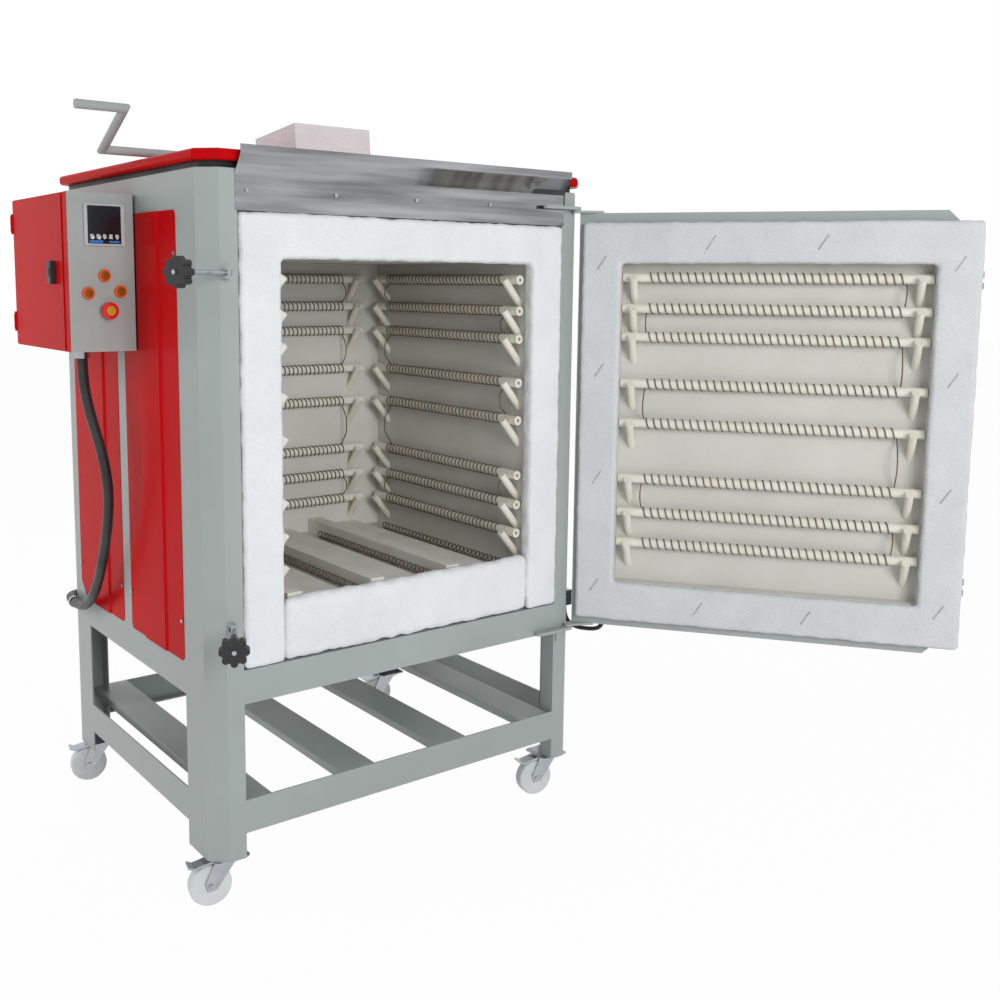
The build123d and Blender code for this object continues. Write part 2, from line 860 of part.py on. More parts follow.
def hinge_bracket(z, up):
    """Adds a strap across the post, its web on the post, and the hinge pin; up is 1 or -1."""
    far = hinge_x - hinge_plate_length
    web_start = shield_width / 2 + 1
    with BuildSketch(Plane.XY.offset(z)) as strap:
        with Locations(((hinge_x + far) / 2, hinge_y)):
            SlotCenterToCenter(hinge_x - far, 2 * hinge_half_width)
        with Locations(((web_start + hinge_x) / 2, (front_face + hinge_y) / 2)):
            Rectangle(hinge_x - web_start, front_face - hinge_y)
    extrude(strap.sketch, amount=up * hinge_plate)
    web_low = z if up < 0 else z + hinge_plate
    web_high = web_low + up * hinge_web_height - (hinge_plate if up < 0 else 0)
    zs = sorted((web_low, web_high))
    block((web_start, front_face - 5, zs[0]), (web_start + hinge_web_width, front_face, zs[1]))
    reach = hinge_gap + lug_thickness + hinge_gap
    with BuildSketch(Plane.XY.offset(z + up * hinge_plate)) as pin:
        with Locations((hinge_x, hinge_y)):
            Circle(hinge_pin)
    extrude(pin.sketch, amount=-up * (hinge_plate + reach))


top_strap = pan_top + lug_thickness + hinge_gap
bottom_strap = pan_bottom - lug_thickness - hinge_gap

# Hinge straps and pins, fixed to the right front post
with BuildPart() as hinge_straps:
    hinge_bracket(top_strap, 1)
    hinge_bracket(bottom_strap, -1)
keep("hinge_straps", hinge_straps)

# Ears that carry the swing bolts, on the left front post
with BuildPart() as latch_ears:
    for z in bolt_heights:
        near = bolt_eye_thickness / 2 + 0.5
        far = near + ear_thickness
        tip = bolt_y - bolt_eye
        block((ear_outer, front_face - 4, z - far), (ear_inner, front_face, z + far))
        for low in (-far, near):
            block((ear_outer, tip, z + low), (ear_inner, front_face, z + low + ear_thickness))
        with BuildSketch(Plane.XY.offset(z - far)):
            with Locations((bolt_x, bolt_y)):
                Circle(bolt_pin)
        extrude(amount=2 * far)
keep("latch_ears", latch_ears)


def along_bolt(index, distance):
    """Plane across a swing bolt at a distance from its pivot, facing away from it."""
    angle = radians(bolt_angles[index])
    way = (cos(angle), sin(angle), 0)
    spot = (bolt_x + distance * way[0], bolt_y + distance * way[1], bolt_heights[index])
    return Plane(spot, x_dir=(0, 0, 1), z_dir=way)


for index, level in enumerate(("upper", "lower")):
    with BuildPart() as swing_bolt:
        with BuildSketch(Plane.XY.offset(bolt_heights[index] - bolt_eye_thickness / 2)):
            with Locations((bolt_x, bolt_y)):
                Circle(bolt_eye)
        extrude(amount=bolt_eye_thickness)
        with BuildSketch(along_bolt(index, 0)):
            Circle(bolt_rod)
        extrude(amount=bolt_length)
        with Locations((bolt_x, bolt_y, bolt_heights[index])):
            Cylinder(bolt_pin + pin_clearance, 2 * bolt_eye_thickness, mode=Mode.SUBTRACT)
    keep(level + "_bolt", swing_bolt)

    washer_at = knob_distance - knob_thickness / 2 - knob_hub_height - washer_thickness - 0.3
    with BuildPart() as washer:
        with BuildSketch(along_bolt(index, washer_at)):
            Circle(washer_radius)
            Circle(bolt_rod + pin_clearance, mode=Mode.SUBTRACT)
        extrude(amount=washer_thickness)
    keep(level + "_washer", washer)

    with BuildPart() as knob:
        with BuildSketch(along_bolt(index, knob_distance - knob_thickness / 2)):
            Circle(knob_core)
            with PolarLocations(knob_radius - knob_lobe, knob_lobes):
                Circle(knob_lobe)
        extrude(amount=knob_thickness)
        with BuildSketch(along_bolt(index, knob_distance - knob_thickness / 2 - knob_hub_height)):
            Circle(knob_hub)
        extrude(amount=knob_hub_height)
        with BuildSketch(along_bolt(index, 0)):
            Circle(bolt_rod + pin_clearance)
        extrude(amount=2 * knob_distance, mode=Mode.SUBTRACT)
    keep(level + "_knob", knob)

box_left = box_right - box_width
box_back = box_front + box_depth
box_inner_front = box_front + box_rim

# Sheet-metal control box, open at the front and with a wide opening in its outer side
with BuildPart() as control_box:
    block((box_left, box_front, box_bottom), (box_right, box_back, box_top))
    inner_low = (box_left + box_sheet, box_front, box_bottom + box_sheet)
    inner_high = (box_right - box_sheet, box_back - box_sheet, box_top - box_sheet)
    inner_size = [h - l for l, h in zip(inner_low, inner_high)]
    inner_centre = [(l + h) / 2 for l, h in zip(inner_low, inner_high)]
    with Locations(tuple(inner_centre)):
        Box(*inner_size, mode=Mode.SUBTRACT)
    window_depth = box_back - box_inner_front - 4 * box_sheet
    window_y = (box_back + box_inner_front) / 2
    with Locations((box_left, window_y, (box_bottom + box_top) / 2)):
        Box(4 * box_sheet, window_depth, box_top - box_bottom - 6 * box_sheet, mode=Mode.SUBTRACT)
    box_pin_x = box_left - box_sheet
    box_pin_y = box_back + box_hinge_radius + 1
    for z in (box_bottom + box_hinge_inset, box_top - box_hinge_inset):
        for end in (-1, 1):
            low = z + end * (box_hinge_length / 2 + 0.5)
            zs = sorted((low, low + end * 5))
            block((box_pin_x - box_hinge_pin, box_back, zs[0]), (box_left + 6, box_pin_y + 4, zs[1]))
        with BuildSketch(Plane.XY.offset(z - box_hinge_length / 2 - 3)):
            with Locations((box_pin_x, box_pin_y)):
                Circle(box_hinge_pin)
        extrude(amount=box_hinge_length + 6)
keep("control_box", control_box)

# Hinged cover on the outer side of the control box
with BuildPart() as control_door:
    block(
        (box_left - box_sheet - 0.2, box_inner_front, box_bottom + box_sheet),
        (box_left - 0.2, box_back - 1, box_top - box_sheet),
    )
    for z in (box_bottom + box_hinge_inset, box_top - box_hinge_inset):
        with BuildSketch(Plane.XY.offset(z - box_hinge_length / 2)):
            with Locations((box_pin_x, box_pin_y)):
                Circle(box_hinge_radius)
            with Locations((box_pin_x - 0.2 + 1 - box_sheet / 2, box_back)):
                Rectangle(box_sheet, 2 * box_hinge_radius)
            with Locations((box_pin_x, box_pin_y)):
                Circle(box_hinge_pin + pin_clearance, mode=Mode.SUBTRACT)
        extrude(amount=box_hinge_length)
keep("control_door", control_door)

latch_y = box_inner_front + latch_from_edge
latch_face = box_left - box_sheet - 0.2

# Quarter-turn handle of that cover
with BuildPart() as box_latch:
    with BuildSketch(Plane((latch_face - 0.3, latch_y, latch_z), x_dir=(0, 1, 0), z_dir=(-1, 0, 0))):
        RectangleRounded(latch_width, latch_height, 6)
    extrude(amount=latch_rise)
    fillet(faces().sort_by(Axis.X)[0].edges(), 3)
    with BuildSketch(Plane((latch_face - 0.3, latch_y, latch_z), x_dir=(0, 1, 0), z_dir=(-1, 0, 0))):
        Circle(latch_hub)
    extrude(amount=latch_rise + latch_hub_rise)
keep("box_latch", box_latch)

panel_face = box_front - panel_plate
controller_x = box_left + controller_left + controller_size / 2
controller_z = box_top - controller_top - controller_size / 2

# Grey front plate with its cut-outs
with BuildPart() as control_panel:
    block((box_left, panel_face, box_bottom), (box_right, box_front, box_top))
    with BuildSketch(Plane.XZ.offset(-box_front)):
        with Locations((controller_x, controller_z)):
            Rectangle(controller_body + 1, controller_body + 1)
        with Locations(*lamp_places):
            Circle(lamp_stem + stop_clearance)
        with Locations(stop_place):
            Circle(stop_stem + stop_clearance)
    extrude(amount=panel_plate, mode=Mode.SUBTRACT)
keep("control_panel", control_panel)

# Temperature controller: bezel, screen, a row of five keys, and the body behind the plate
with BuildPart() as controller:
    with BuildSketch(Plane.XZ.offset(-panel_face)):
        with Locations((controller_x, controller_z)):
            RectangleRounded(controller_size, controller_size, 3)
    extrude(amount=controller_bezel)
    with BuildSketch(Plane.XZ.offset(controller_bezel - panel_face)):
        with Locations((controller_x, controller_z)):
            Rectangle(controller_size - 16, controller_size - 8)
    extrude(amount=-2, mode=Mode.SUBTRACT)
    with BuildSketch(Plane.XZ.offset(controller_bezel - panel_face - 2)):
        with Locations((controller_x, controller_z - 0.27 * controller_size)):
            with GridLocations(key_pitch, 1, 5, 1):
                RectangleRounded(key_size, key_size, 1)
    extrude(amount=key_rise)
    with BuildSketch(Plane.XZ.offset(-panel_face)):
        with Locations((controller_x, controller_z)):
            Rectangle(controller_body, controller_body)
    extrude(amount=-controller_depth)
keep("controller", controller)

# Three pilot lamps
with BuildPart() as pilot_lamps:
    for spot in lamp_places:
        with BuildSketch(Plane.XZ.offset(-panel_face)):
            with Locations(spot):
                Circle(lamp_radius)
        extrude(amount=lamp_rise)
        with BuildSketch(Plane.XZ.offset(-panel_face)):
            with Locations(spot):
                Circle(lamp_stem)
        extrude(amount=-lamp_stem_depth)
    fillet(faces().filter_by(Plane.XZ).group_by(Axis.Y)[0].edges(), 3)
keep("pilot_lamps", pilot_lamps)

# Mushroom stop button
with BuildPart() as stop_button:
    with BuildSketch(Plane.XZ.offset(stop_gap - panel_face)):
        with Locations(stop_place):
            Circle(stop_radius)
    extrude(amount=stop_rise)
    fillet(faces().sort_by(Axis.Y)[0].edges(), 5)
    with BuildSketch(Plane.XZ.offset(stop_gap - panel_face)):
        with Locations(stop_place):
            Circle(stop_stem)
    extrude(amount=-stop_gap - stop_stem_depth)
keep("stop_button", stop_button)

# Caster plates under the posts
with BuildPart() as caster_plates:
    with BuildSketch(Plane.XY.offset(caster_height - caster_plate_thickness)):
        with GridLocations(2 * caster_x, 2 * caster_y, 2, 2):
            RectangleRounded(caster_plate, caster_plate, 8)
    extrude(amount=caster_plate_thickness)
keep("caster_plates", caster_plates)

corners = {
    "front_left": (-caster_x, -caster_y),
    "front_right": (caster_x, -caster_y),
    "rear_left": (-caster_x, caster_y),
    "rear_right": (caster_x, caster_y),
}
fork_top = caster_height - caster_plate_thickness - 0.3
fork_inner = wheel_width / 2 + fork_gap
for corner, (x, y) in corners.items():
    turn = Location((x, y, 0), (0, 0, caster_turn))
    axle = (caster_trail, 0, wheel_axle_z)
    with BuildPart() as fork:
        with BuildSketch(Plane.XY.offset(fork_top - fork_head_height)):
            Circle(fork_head)
            Rectangle(2 * fork_head, 2 * (fork_inner + fork_sheet))
        extrude(amount=fork_head_height)
        for side in (-1, 1):
            with BuildSketch(Plane.XZ.offset(side * (fork_inner + fork_sheet))):
                with BuildLine():
                    Polyline(
                        (-fork_head + 6, fork_top - 2),
                        (fork_head, fork_top - 2),
                        (caster_trail + 14, wheel_axle_z + 8),
                        (caster_trail + 8, wheel_axle_z - 12),
                        (caster_trail - 12, wheel_axle_z - 10),
                        close=True,
                    )
                make_face()
            extrude(amount=-side * fork_sheet)
        with BuildSketch(Plane.XZ.offset(-fork_inner - 2 * fork_sheet)):
            with Locations((caster_trail, wheel_axle_z)):
                Circle(wheel_bore)
        extrude(amount=2 * fork_inner + 4 * fork_sheet)
    keep("fork_" + corner, fork.part.moved(turn))

    with BuildPart() as wheel:
        with BuildSketch(Plane.XZ.offset(-wheel_width / 2)):
            with Locations((caster_trail, wheel_axle_z)):
                Circle(wheel_radius)
                Circle(wheel_bore + pin_clearance, mode=Mode.SUBTRACT)
        extrude(amount=wheel_width)
        fillet(edges().filter_by(GeomType.CIRCLE).group_by(SortBy.RADIUS)[-1], wheel_crown)
    keep("wheel_" + corner, wheel.part.moved(turn))

    with BuildPart() as pedal:
        with BuildSketch(Plane.XZ.offset(-pedal_width / 2)):
            with BuildLine():
                Polyline(
                    (fork_head + pedal_gap + pedal_barrel, pedal_pivot_height - 3),
                    (fork_head + pedal_gap + pedal_barrel, pedal_pivot_height + pedal_sheet),
                    (fork_head + pedal_reach - 14, pedal_pivot_height - 10 + pedal_sheet),
                    (fork_head + pedal_reach, pedal_pivot_height - 4 + pedal_sheet),
                    (fork_head + pedal_reach + 1, pedal_pivot_height - 6),
                    (fork_head + pedal_reach - 14, pedal_pivot_height - 12),
                    close=True,
                )
            make_face()
            with Locations((fork_head + pedal_gap + pedal_barrel, pedal_pivot_height)):
                Circle(pedal_barrel)
        extrude(amount=pedal_width)
    keep("pedal_" + corner, pedal.part.moved(turn))

# Bearings on the roof for the vent shaft
with BuildPart() as vent_bearings:
    for x in bearing_places:
        with BuildSketch(Plane.YZ.offset(x - bearing_width / 2)):
            with Locations((shaft_y, (cover_top + shaft_z) / 2)):
                Rectangle(bearing_length, shaft_z - cover_top)
            with Locations((shaft_y, shaft_z)):
                Circle(bearing_crown)
                Circle(shaft_radius + pin_clearance, mode=Mode.SUBTRACT)
        extrude(amount=bearing_width)
keep("vent_bearings", vent_bearings)

flap_right = flap_x + flap_width / 2
flap_left = flap_x - flap_width / 2
arm_angle = radians(crank_angle)
arm_end = (shaft_left, shaft_y + crank_arm * cos(arm_angle), shaft_z + crank_arm * sin(arm_angle))
grip_end = (shaft_left - crank_grip, arm_end[1], arm_end[2])

# Crank bent from one round bar: shaft, arm and grip
with BuildPart() as vent_crank:
    with BuildLine() as crank_line:
        Polyline((shaft_right, shaft_y, shaft_z), (shaft_left, shaft_y, shaft_z), arm_end, grip_end)
    with BuildSketch(Plane(crank_line.line @ 0, z_dir=crank_line.line % 0)):
        Circle(shaft_radius)
    sweep(transition=Transition.RIGHT)
keep("vent_crank", vent_crank)

# Fibre block that closes the flue, standing a little open; its lower rear edge is round about the shaft
with BuildPart() as vent_flap:
    block(
        (flap_left, flap_front, flap_bottom),
        (flap_right, flap_front + flap_depth, flap_bottom + flap_height),
    )
    fillet(edges().filter_by(Axis.X).group_by(Axis.Z)[0].sort_by(Axis.Y)[-1], shaft_z - flap_bottom)
    with BuildSketch(Plane.YZ.offset(flap_left)):
        with Locations((shaft_y, shaft_z)):
            Circle(shaft_radius + pin_clearance)
    extrude(amount=flap_width, mode=Mode.SUBTRACT)
shaft_axis = Axis((flap_x, shaft_y, shaft_z), (1, 0, 0))
keep("vent_flap", vent_flap.part.rotate(shaft_axis, -flap_tilt))

# Door pan: a folded tray with an inward flange and clipped free corners
with BuildPart() as door_pan:
    with BuildSketch(Plane.XZ.offset(-pan_face)) as pan_sketch:
        with Locations(((pan_hinge_edge + pan_free_edge) / 2, (pan_bottom + pan_top) / 2)):
            Rectangle(pan_width, pan_top - pan_bottom)
        chamfer(pan_sketch.vertices().group_by(Axis.X)[0], pan_corner)
    extrude(amount=pan_depth)
    inner_middle = ((pan_hinge_edge + pan_free_edge) / 2, (pan_bottom + pan_top) / 2)
    with BuildSketch(Plane.XZ.offset(-pan_face + pan_sheet)) as hollow_sketch:
        with Locations(inner_middle):
            Rectangle(pan_width - 2 * pan_sheet, pan_top - pan_bottom - 2 * pan_sheet)
        chamfer(hollow_sketch.vertices().group_by(Axis.X)[0], pan_corner)
    extrude(amount=pan_depth - 2 * pan_sheet, mode=Mode.SUBTRACT)
    with BuildSketch(Plane.XZ.offset(-pan_face)):
        with Locations(inner_middle):
            Rectangle(pan_width - 2 * pan_flange, pan_top - pan_bottom - 2 * pan_flange)
    extrude(amount=pan_sheet, mode=Mode.SUBTRACT)
keep("door_pan", swing(door_pan))

recess_left = door_free_edge + door_recess_side
recess_right = door_edge - door_recess_side
recess_middle = ((recess_left + recess_right) / 2, (door_recess_bottom + door_recess_top) / 2)

# Insulation board inside the pan, recessed for the elements
with BuildPart() as door_board:
    edge = pan_sheet + board_clearance
    with BuildSketch(Plane.XZ.offset(-board_face)) as board_sketch:
        with Locations(inner_middle):
            Rectangle(pan_width - 2 * edge, pan_top - pan_bottom - 2 * edge)
        chamfer(board_sketch.vertices().group_by(Axis.X)[0], pan_corner)
    extrude(amount=board_face - pan_back - edge)
    with BuildSketch(Plane.XZ.offset(-board_face)):
        with Locations(recess_middle):
            Rectangle(recess_right - recess_left, door_recess_top - door_recess_bottom)
    extrude(amount=board_face - recess_floor, mode=Mode.SUBTRACT)
keep("door_board", swing(door_board))

# Fibre frame of the door, wider than the pan at the free edge
with BuildPart() as door_blanket_frame:
    with BuildSketch(Plane.XZ.offset(-pan_face)):
        with Locations(((door_edge + door_free_edge) / 2, (door_bottom + door_top) / 2)):
            Rectangle(door_width, door_top - door_bottom)
        with Locations(recess_middle):
            Rectangle(recess_right - recess_left, door_recess_top - door_recess_bottom, mode=Mode.SUBTRACT)
    extrude(amount=-door_blanket)
    fillet(faces().sort_by(Axis.Y)[-1].edges(), 0.6 * blanket_edge)
keep("door_blanket", swing(door_blanket_frame))

# Wire staples, each pressed slantwise against the fibre frame
staple_side = [door_top - drop for drop in staple_drops]
staple_across = [0.34, 0.62]
with BuildPart() as door_staples:
    spots = []
    for z in staple_side:
        spots.append((door_edge - staple_inset, z))
        spots.append((door_free_edge + staple_inset, z))
    for share in staple_across:
        for z in (door_top - staple_inset, door_bottom + staple_inset):
            spots.append((door_edge - share * door_width, z))
    for x, z in spots:
        slant = radians(58)
        run = (-cos(slant), 0, sin(slant))
        half = staple_length / 2
        start = (x - half * run[0], door_face + staple_wire / 2 + 0.2, z - half * run[2])
        with BuildSketch(Plane(start, z_dir=run)):
            Circle(staple_wire / 2)
        extrude(amount=staple_length)
keep("door_staples", swing(door_staples))

door_line = recess_floor + tube_stand_off
door_tube_start = recess_right - 2

with BuildPart() as door_tubes:
    for z in door_rows:
        with Locations(Location((door_tube_start, door_line, z), (0, 0, 90))):
            add(door_tube)
keep("door_tubes", swing(door_tubes))

with BuildPart() as door_pegs:
    for z in door_rows:
        for x in (door_tube_start - peg_end_inset, door_tube_start - door_tube_length + peg_end_inset):
            with Locations(Location((x, recess_floor, z), (0, 0, 90))):
                add(peg)
keep("door_pegs", swing(door_pegs))

with BuildPart() as door_coils:
    for row, z in enumerate(door_rows):
        with Locations(Location((door_tube_start - coil_end, door_line, z), (0, 0, 90))):
            add(door_coil)
        if row > 0:
            x = door_tube_start - coil_end - link_inset
            if row % 2:
                x -= door_coil_length - 2 * link_inset
            link(x, door_line, door_rows[row - 1], z)
keep("door_coils", swing(door_coils))


def hinge_lug(z, up):
    """Adds a door lug that turns on the hinge pin and reaches back over the pan."""
    with BuildSketch(Plane.XY.offset(z)) as lug:
        with Locations((hinge_x, hinge_y)):
            Circle(hinge_half_width - 1)
        with BuildLine():
            Polyline(
                (hinge_x + 8, hinge_y - 6),
                (hinge_x - 2, pan_face - 4),
                (pan_hinge_edge, pan_face - 16),
                (pan_hinge_edge - 60, pan_face - 30),
                (pan_hinge_edge - 60, pan_face - 4),
                (hinge_x - hinge_half_width + 1, hinge_y),
                close=True,
            )
        make_face()
        with Locations((hinge_x, hinge_y)):
            Circle(hinge_pin + pin_clearance, mode=Mode.SUBTRACT)
    extrude(lug.sketch, amount=up * lug_thickness)


# Hinge lugs, the forked catches for the swing bolts and the cable gland, fixed to the pan
with BuildPart() as door_lugs:
    hinge_lug(pan_top, 1)
    hinge_lug(pan_bottom, -1)
    catch_back = door_face - catch_depth - catch_thickness
    for z in bolt_heights:
        with BuildSketch(Plane.XZ.offset(-catch_back - catch_thickness)):
            with Locations(((pan_free_edge + bolt_x - catch_slot) / 2, z)):
                Rectangle(pan_free_edge - bolt_x + catch_slot, catch_height)
            with Locations((bolt_x - catch_slot, z)):
                Rectangle(2 * catch_slot, 2 * catch_slot, mode=Mode.SUBTRACT)
            with Locations((bolt_x, z)):
                Circle(catch_slot, mode=Mode.SUBTRACT)
        extrude(amount=catch_thickness)
    pivot = Vector(hinge_x, hinge_y, 0)
    gland_at = (Vector(*cable_points[-1]) - pivot).rotate(Axis.Z, -door_open) + pivot
    with BuildSketch(Plane.XY.offset(gland_at.Z)):
        with Locations((gland_at.X, gland_at.Y)):
            Circle(cable_radius + 4)
    extrude(amount=pan_bottom - gland_at.Z)
keep("door_lugs", swing(door_lugs))


def lead(name, points, radius):
    """Sweeps a lead along straight runs joined by arcs as large as the runs allow."""
    spots = [Vector(*point) for point in points]
    radii = []
    for a, b, c in zip(spots, spots[1:], spots[2:]):
        run_in = b - a
        run_out = c - b
        turn = radians(run_in.get_angle(run_out))
        radii.append(0.45 * min(run_in.length, run_out.length) / tan(turn / 2))
    with BuildPart() as solid:
        with BuildLine() as path:
            FilletPolyline(*spots, radius=radii)
        with BuildSketch(Plane(path.line @ 0, z_dir=path.line % 0)):
            Circle(radius)
        sweep()
    length = path.wire().length
    expected = pi * radius**2 * length
    print(name, "radii", [round(r) for r in radii], "length", round(length))
    print(name, "volume over section times length", round(solid.part.volume / expected, 4))
    return solid


# Black conduit from the control box, down the side and round the rear post
control_conduit = lead("control_conduit", conduit_points, conduit_radius)
keep("control_conduit", control_conduit)

# Cable that crosses from the right front post into the door
door_cable = lead("door_cable", cable_points, cable_radius)
keep("door_cable", door_cable)

conduit_start = Vector(*conduit_points[0])
conduit_end = Vector(*conduit_points[-1])
cable_start = Vector(*cable_points[0])
cable_end = Vector(*cable_points[-1])

# Glands, clip and the cable's outlet block on the post
with BuildPart() as lead_fittings:
    with BuildSketch(Plane.XY.offset(conduit_start.Z)):
        with Locations((conduit_start.X, conduit_start.Y)):
            Circle(conduit_radius + 5)
    extrude(amount=box_bottom - conduit_start.Z)
    way = (conduit_end - Vector(*conduit_points[-2])).normalized()
    with BuildSketch(Plane(conduit_end, z_dir=way)):
        Circle(conduit_radius + 4)
    extrude(amount=26)
    mid = conduit_end + way * 13
    block((mid.X - 10, half_depth, mid.Z - 8), (mid.X + 10, mid.Y, mid.Z + 8))
    clip_from = Vector(*conduit_points[-4])
    clip_to = Vector(*conduit_points[-3])
    clip_way = (clip_to - clip_from).normalized()
    clip_at = (clip_from + clip_to) * 0.5
    with BuildSketch(Plane(clip_at - clip_way * 7, z_dir=clip_way)):
        Circle(conduit_radius + 2.5)
        Circle(conduit_radius + 0.4, mode=Mode.SUBTRACT)
    extrude(amount=14)
    reach = conduit_radius + 1
    block((clip_at.X + reach, clip_at.Y - 6, clip_at.Z - 3), (-half_width - 0.1, clip_at.Y + 6, clip_at.Z + 3))
    block((half_width, cable_start.Y - 16, cable_start.Z), (half_width + 30, cable_start.Y + 16, cable_start.Z + 44))
keep("lead_fittings", lead_fittings)

solid_pieces = [piece for name, piece in pieces.items() if name not in cord_nodes]
low_corner = Vector(*[min(getattr(p.bounding_box().min, axis) for p in solid_pieces) for axis in "XYZ"])
high_corner = Vector(*[max(getattr(p.bounding_box().max, axis) for p in solid_pieces) for axis in "XYZ"])
origin = Vector((low_corner.X + high_corner.X) / 2, (low_corner.Y + high_corner.Y) / 2, low_corner.Z)
print("origin in the casing's frame", [round(v, 4) for v in origin], "size", high_corner - low_corner)
print("least gap between loops", round(least_coil_gap(floor_coil_length, coil_loops, floor_coil_radius), 2))

os.makedirs("parts", exist_ok=True)
for name, piece in pieces.items():
    written = piece.moved(Location(-origin))
    written.label = name
    export_step(written, f"parts/{name}.step")
print(len(pieces), "nodes written")
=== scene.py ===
"""Looks of a front-loading ceramic kiln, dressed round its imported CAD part."""

from __future__ import annotations

import logging
import math
from dataclasses import dataclass
from enum import Enum

import bpy
from mathutils import Matrix, Vector, noise

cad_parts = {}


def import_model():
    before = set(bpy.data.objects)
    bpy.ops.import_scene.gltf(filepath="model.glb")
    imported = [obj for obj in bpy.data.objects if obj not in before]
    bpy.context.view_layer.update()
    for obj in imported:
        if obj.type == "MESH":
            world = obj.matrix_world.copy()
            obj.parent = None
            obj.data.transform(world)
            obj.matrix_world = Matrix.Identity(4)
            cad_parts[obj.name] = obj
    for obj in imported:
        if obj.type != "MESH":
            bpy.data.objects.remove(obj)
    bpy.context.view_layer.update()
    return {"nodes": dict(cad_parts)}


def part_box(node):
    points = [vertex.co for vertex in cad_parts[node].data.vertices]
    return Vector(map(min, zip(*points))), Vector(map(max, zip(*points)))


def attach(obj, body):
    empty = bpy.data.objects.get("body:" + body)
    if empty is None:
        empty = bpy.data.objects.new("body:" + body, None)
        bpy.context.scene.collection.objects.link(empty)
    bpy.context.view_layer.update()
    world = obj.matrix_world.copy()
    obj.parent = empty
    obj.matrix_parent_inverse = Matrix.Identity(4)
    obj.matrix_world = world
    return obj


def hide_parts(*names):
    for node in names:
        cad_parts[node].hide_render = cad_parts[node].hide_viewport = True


LOG = logging.getLogger("kiln")

Point = tuple[float, float, float]

# The casing's own frame is in millimetres; the row frame is in metres about the part's box centre.
ORIGIN = Vector((232.4476, -387.4951, 0.0))
HINGE = Vector((510.0, -484.0, 0.0))
DOOR_OPEN = math.radians(127.2)
UP = Vector((0, 0, 1))

# What the camera and the reflections see of the floor and the world.
WHITE = (1.0, 1.0, 1.0, 1.0)

# The sockets of a colour Mix node, which have no names of their own.
MIX_FACTOR, MIX_A, MIX_B, MIX_RESULT = 0, 6, 7, 2

# How the small round pieces are finished: their edge as a share of their size, and the smooth angle.
DISC_EDGE = 0.18
SMOOTH_ANGLE = math.radians(35)


def place(point: Point | Vector) -> Vector:
    """Returns a point of the casing's frame as metres in the row frame."""
    return (Vector(point) - ORIGIN) / 1000.0


def on_door(point: Point | Vector) -> Vector:
    """Returns a point of the shut door, moved to where the open door has it, in the casing's frame."""
    return Matrix.Rotation(DOOR_OPEN, 3, "Z") @ (Vector(point) - HINGE) + HINGE


class Body(Enum):
    """The moving groups that pieces ride on."""

    FRAME = "frame"
    DOOR = "door"
    STOP = "stop_button"


class Finish(Enum):
    """The finishes of the kiln, by the record's material slot."""

    RED_ENAMEL = "red_enamel"
    GREY_ENAMEL = "grey_enamel"
    BLACK_PAINT = "black_paint"
    POLISHED_STEEL = "polished_steel"
    ZINC = "zinc_steel"
    FIBRE = "fibre"
    # Painted shade: the door's blanket is the same fibre as the mouth frame, in a darker copy that stands
    # in for the lesser light on the open door's face.
    DOOR_FIBRE = "door_fibre_painted_shade"
    LINING = "lining"
    BEIGE_CERAMIC = "beige_ceramic"
    WHITE_CERAMIC = "white_ceramic"
    WIRE = "heating_wire"
    BLACK_PLASTIC = "black_plastic"
    GREY_PLASTIC = "grey_plastic"
    ORANGE_LENS = "orange_lens"
    AMBER_LENS = "amber_lens"
    RED_PLASTIC = "red_plastic"
    YELLOW_PLASTIC = "yellow_plastic"
    NYLON = "nylon"
    RUBBER = "black_rubber"
    SCREEN = "screen"
    SCREEN_BLUE = "screen_blue"
    SCREEN_WHITE = "screen_white"


@dataclass(frozen=True)
class Coat:
    """How one finish looks: two colours that drift into each other, its gloss and its grain.

    The scales are waves in a metre, and grain_depth is in metres.
    """

    colour: Point
    drift: Point
    roughness: float = 0.5
    metallic: float = 0.0
    patch_scale: float = 6.0
    grain_scale: float = 220.0
    grain: float = 0.08
    grain_depth: float = 0.0004
    roughness_drift: float = 0.1
    clear_coat: float = 0.0
    sheen: float = 0.0
    stretch: Point = (1.0, 1.0, 1.0)
    quilt: float = 0.0
    glow: float = 0.0
    specular: float = 0.5


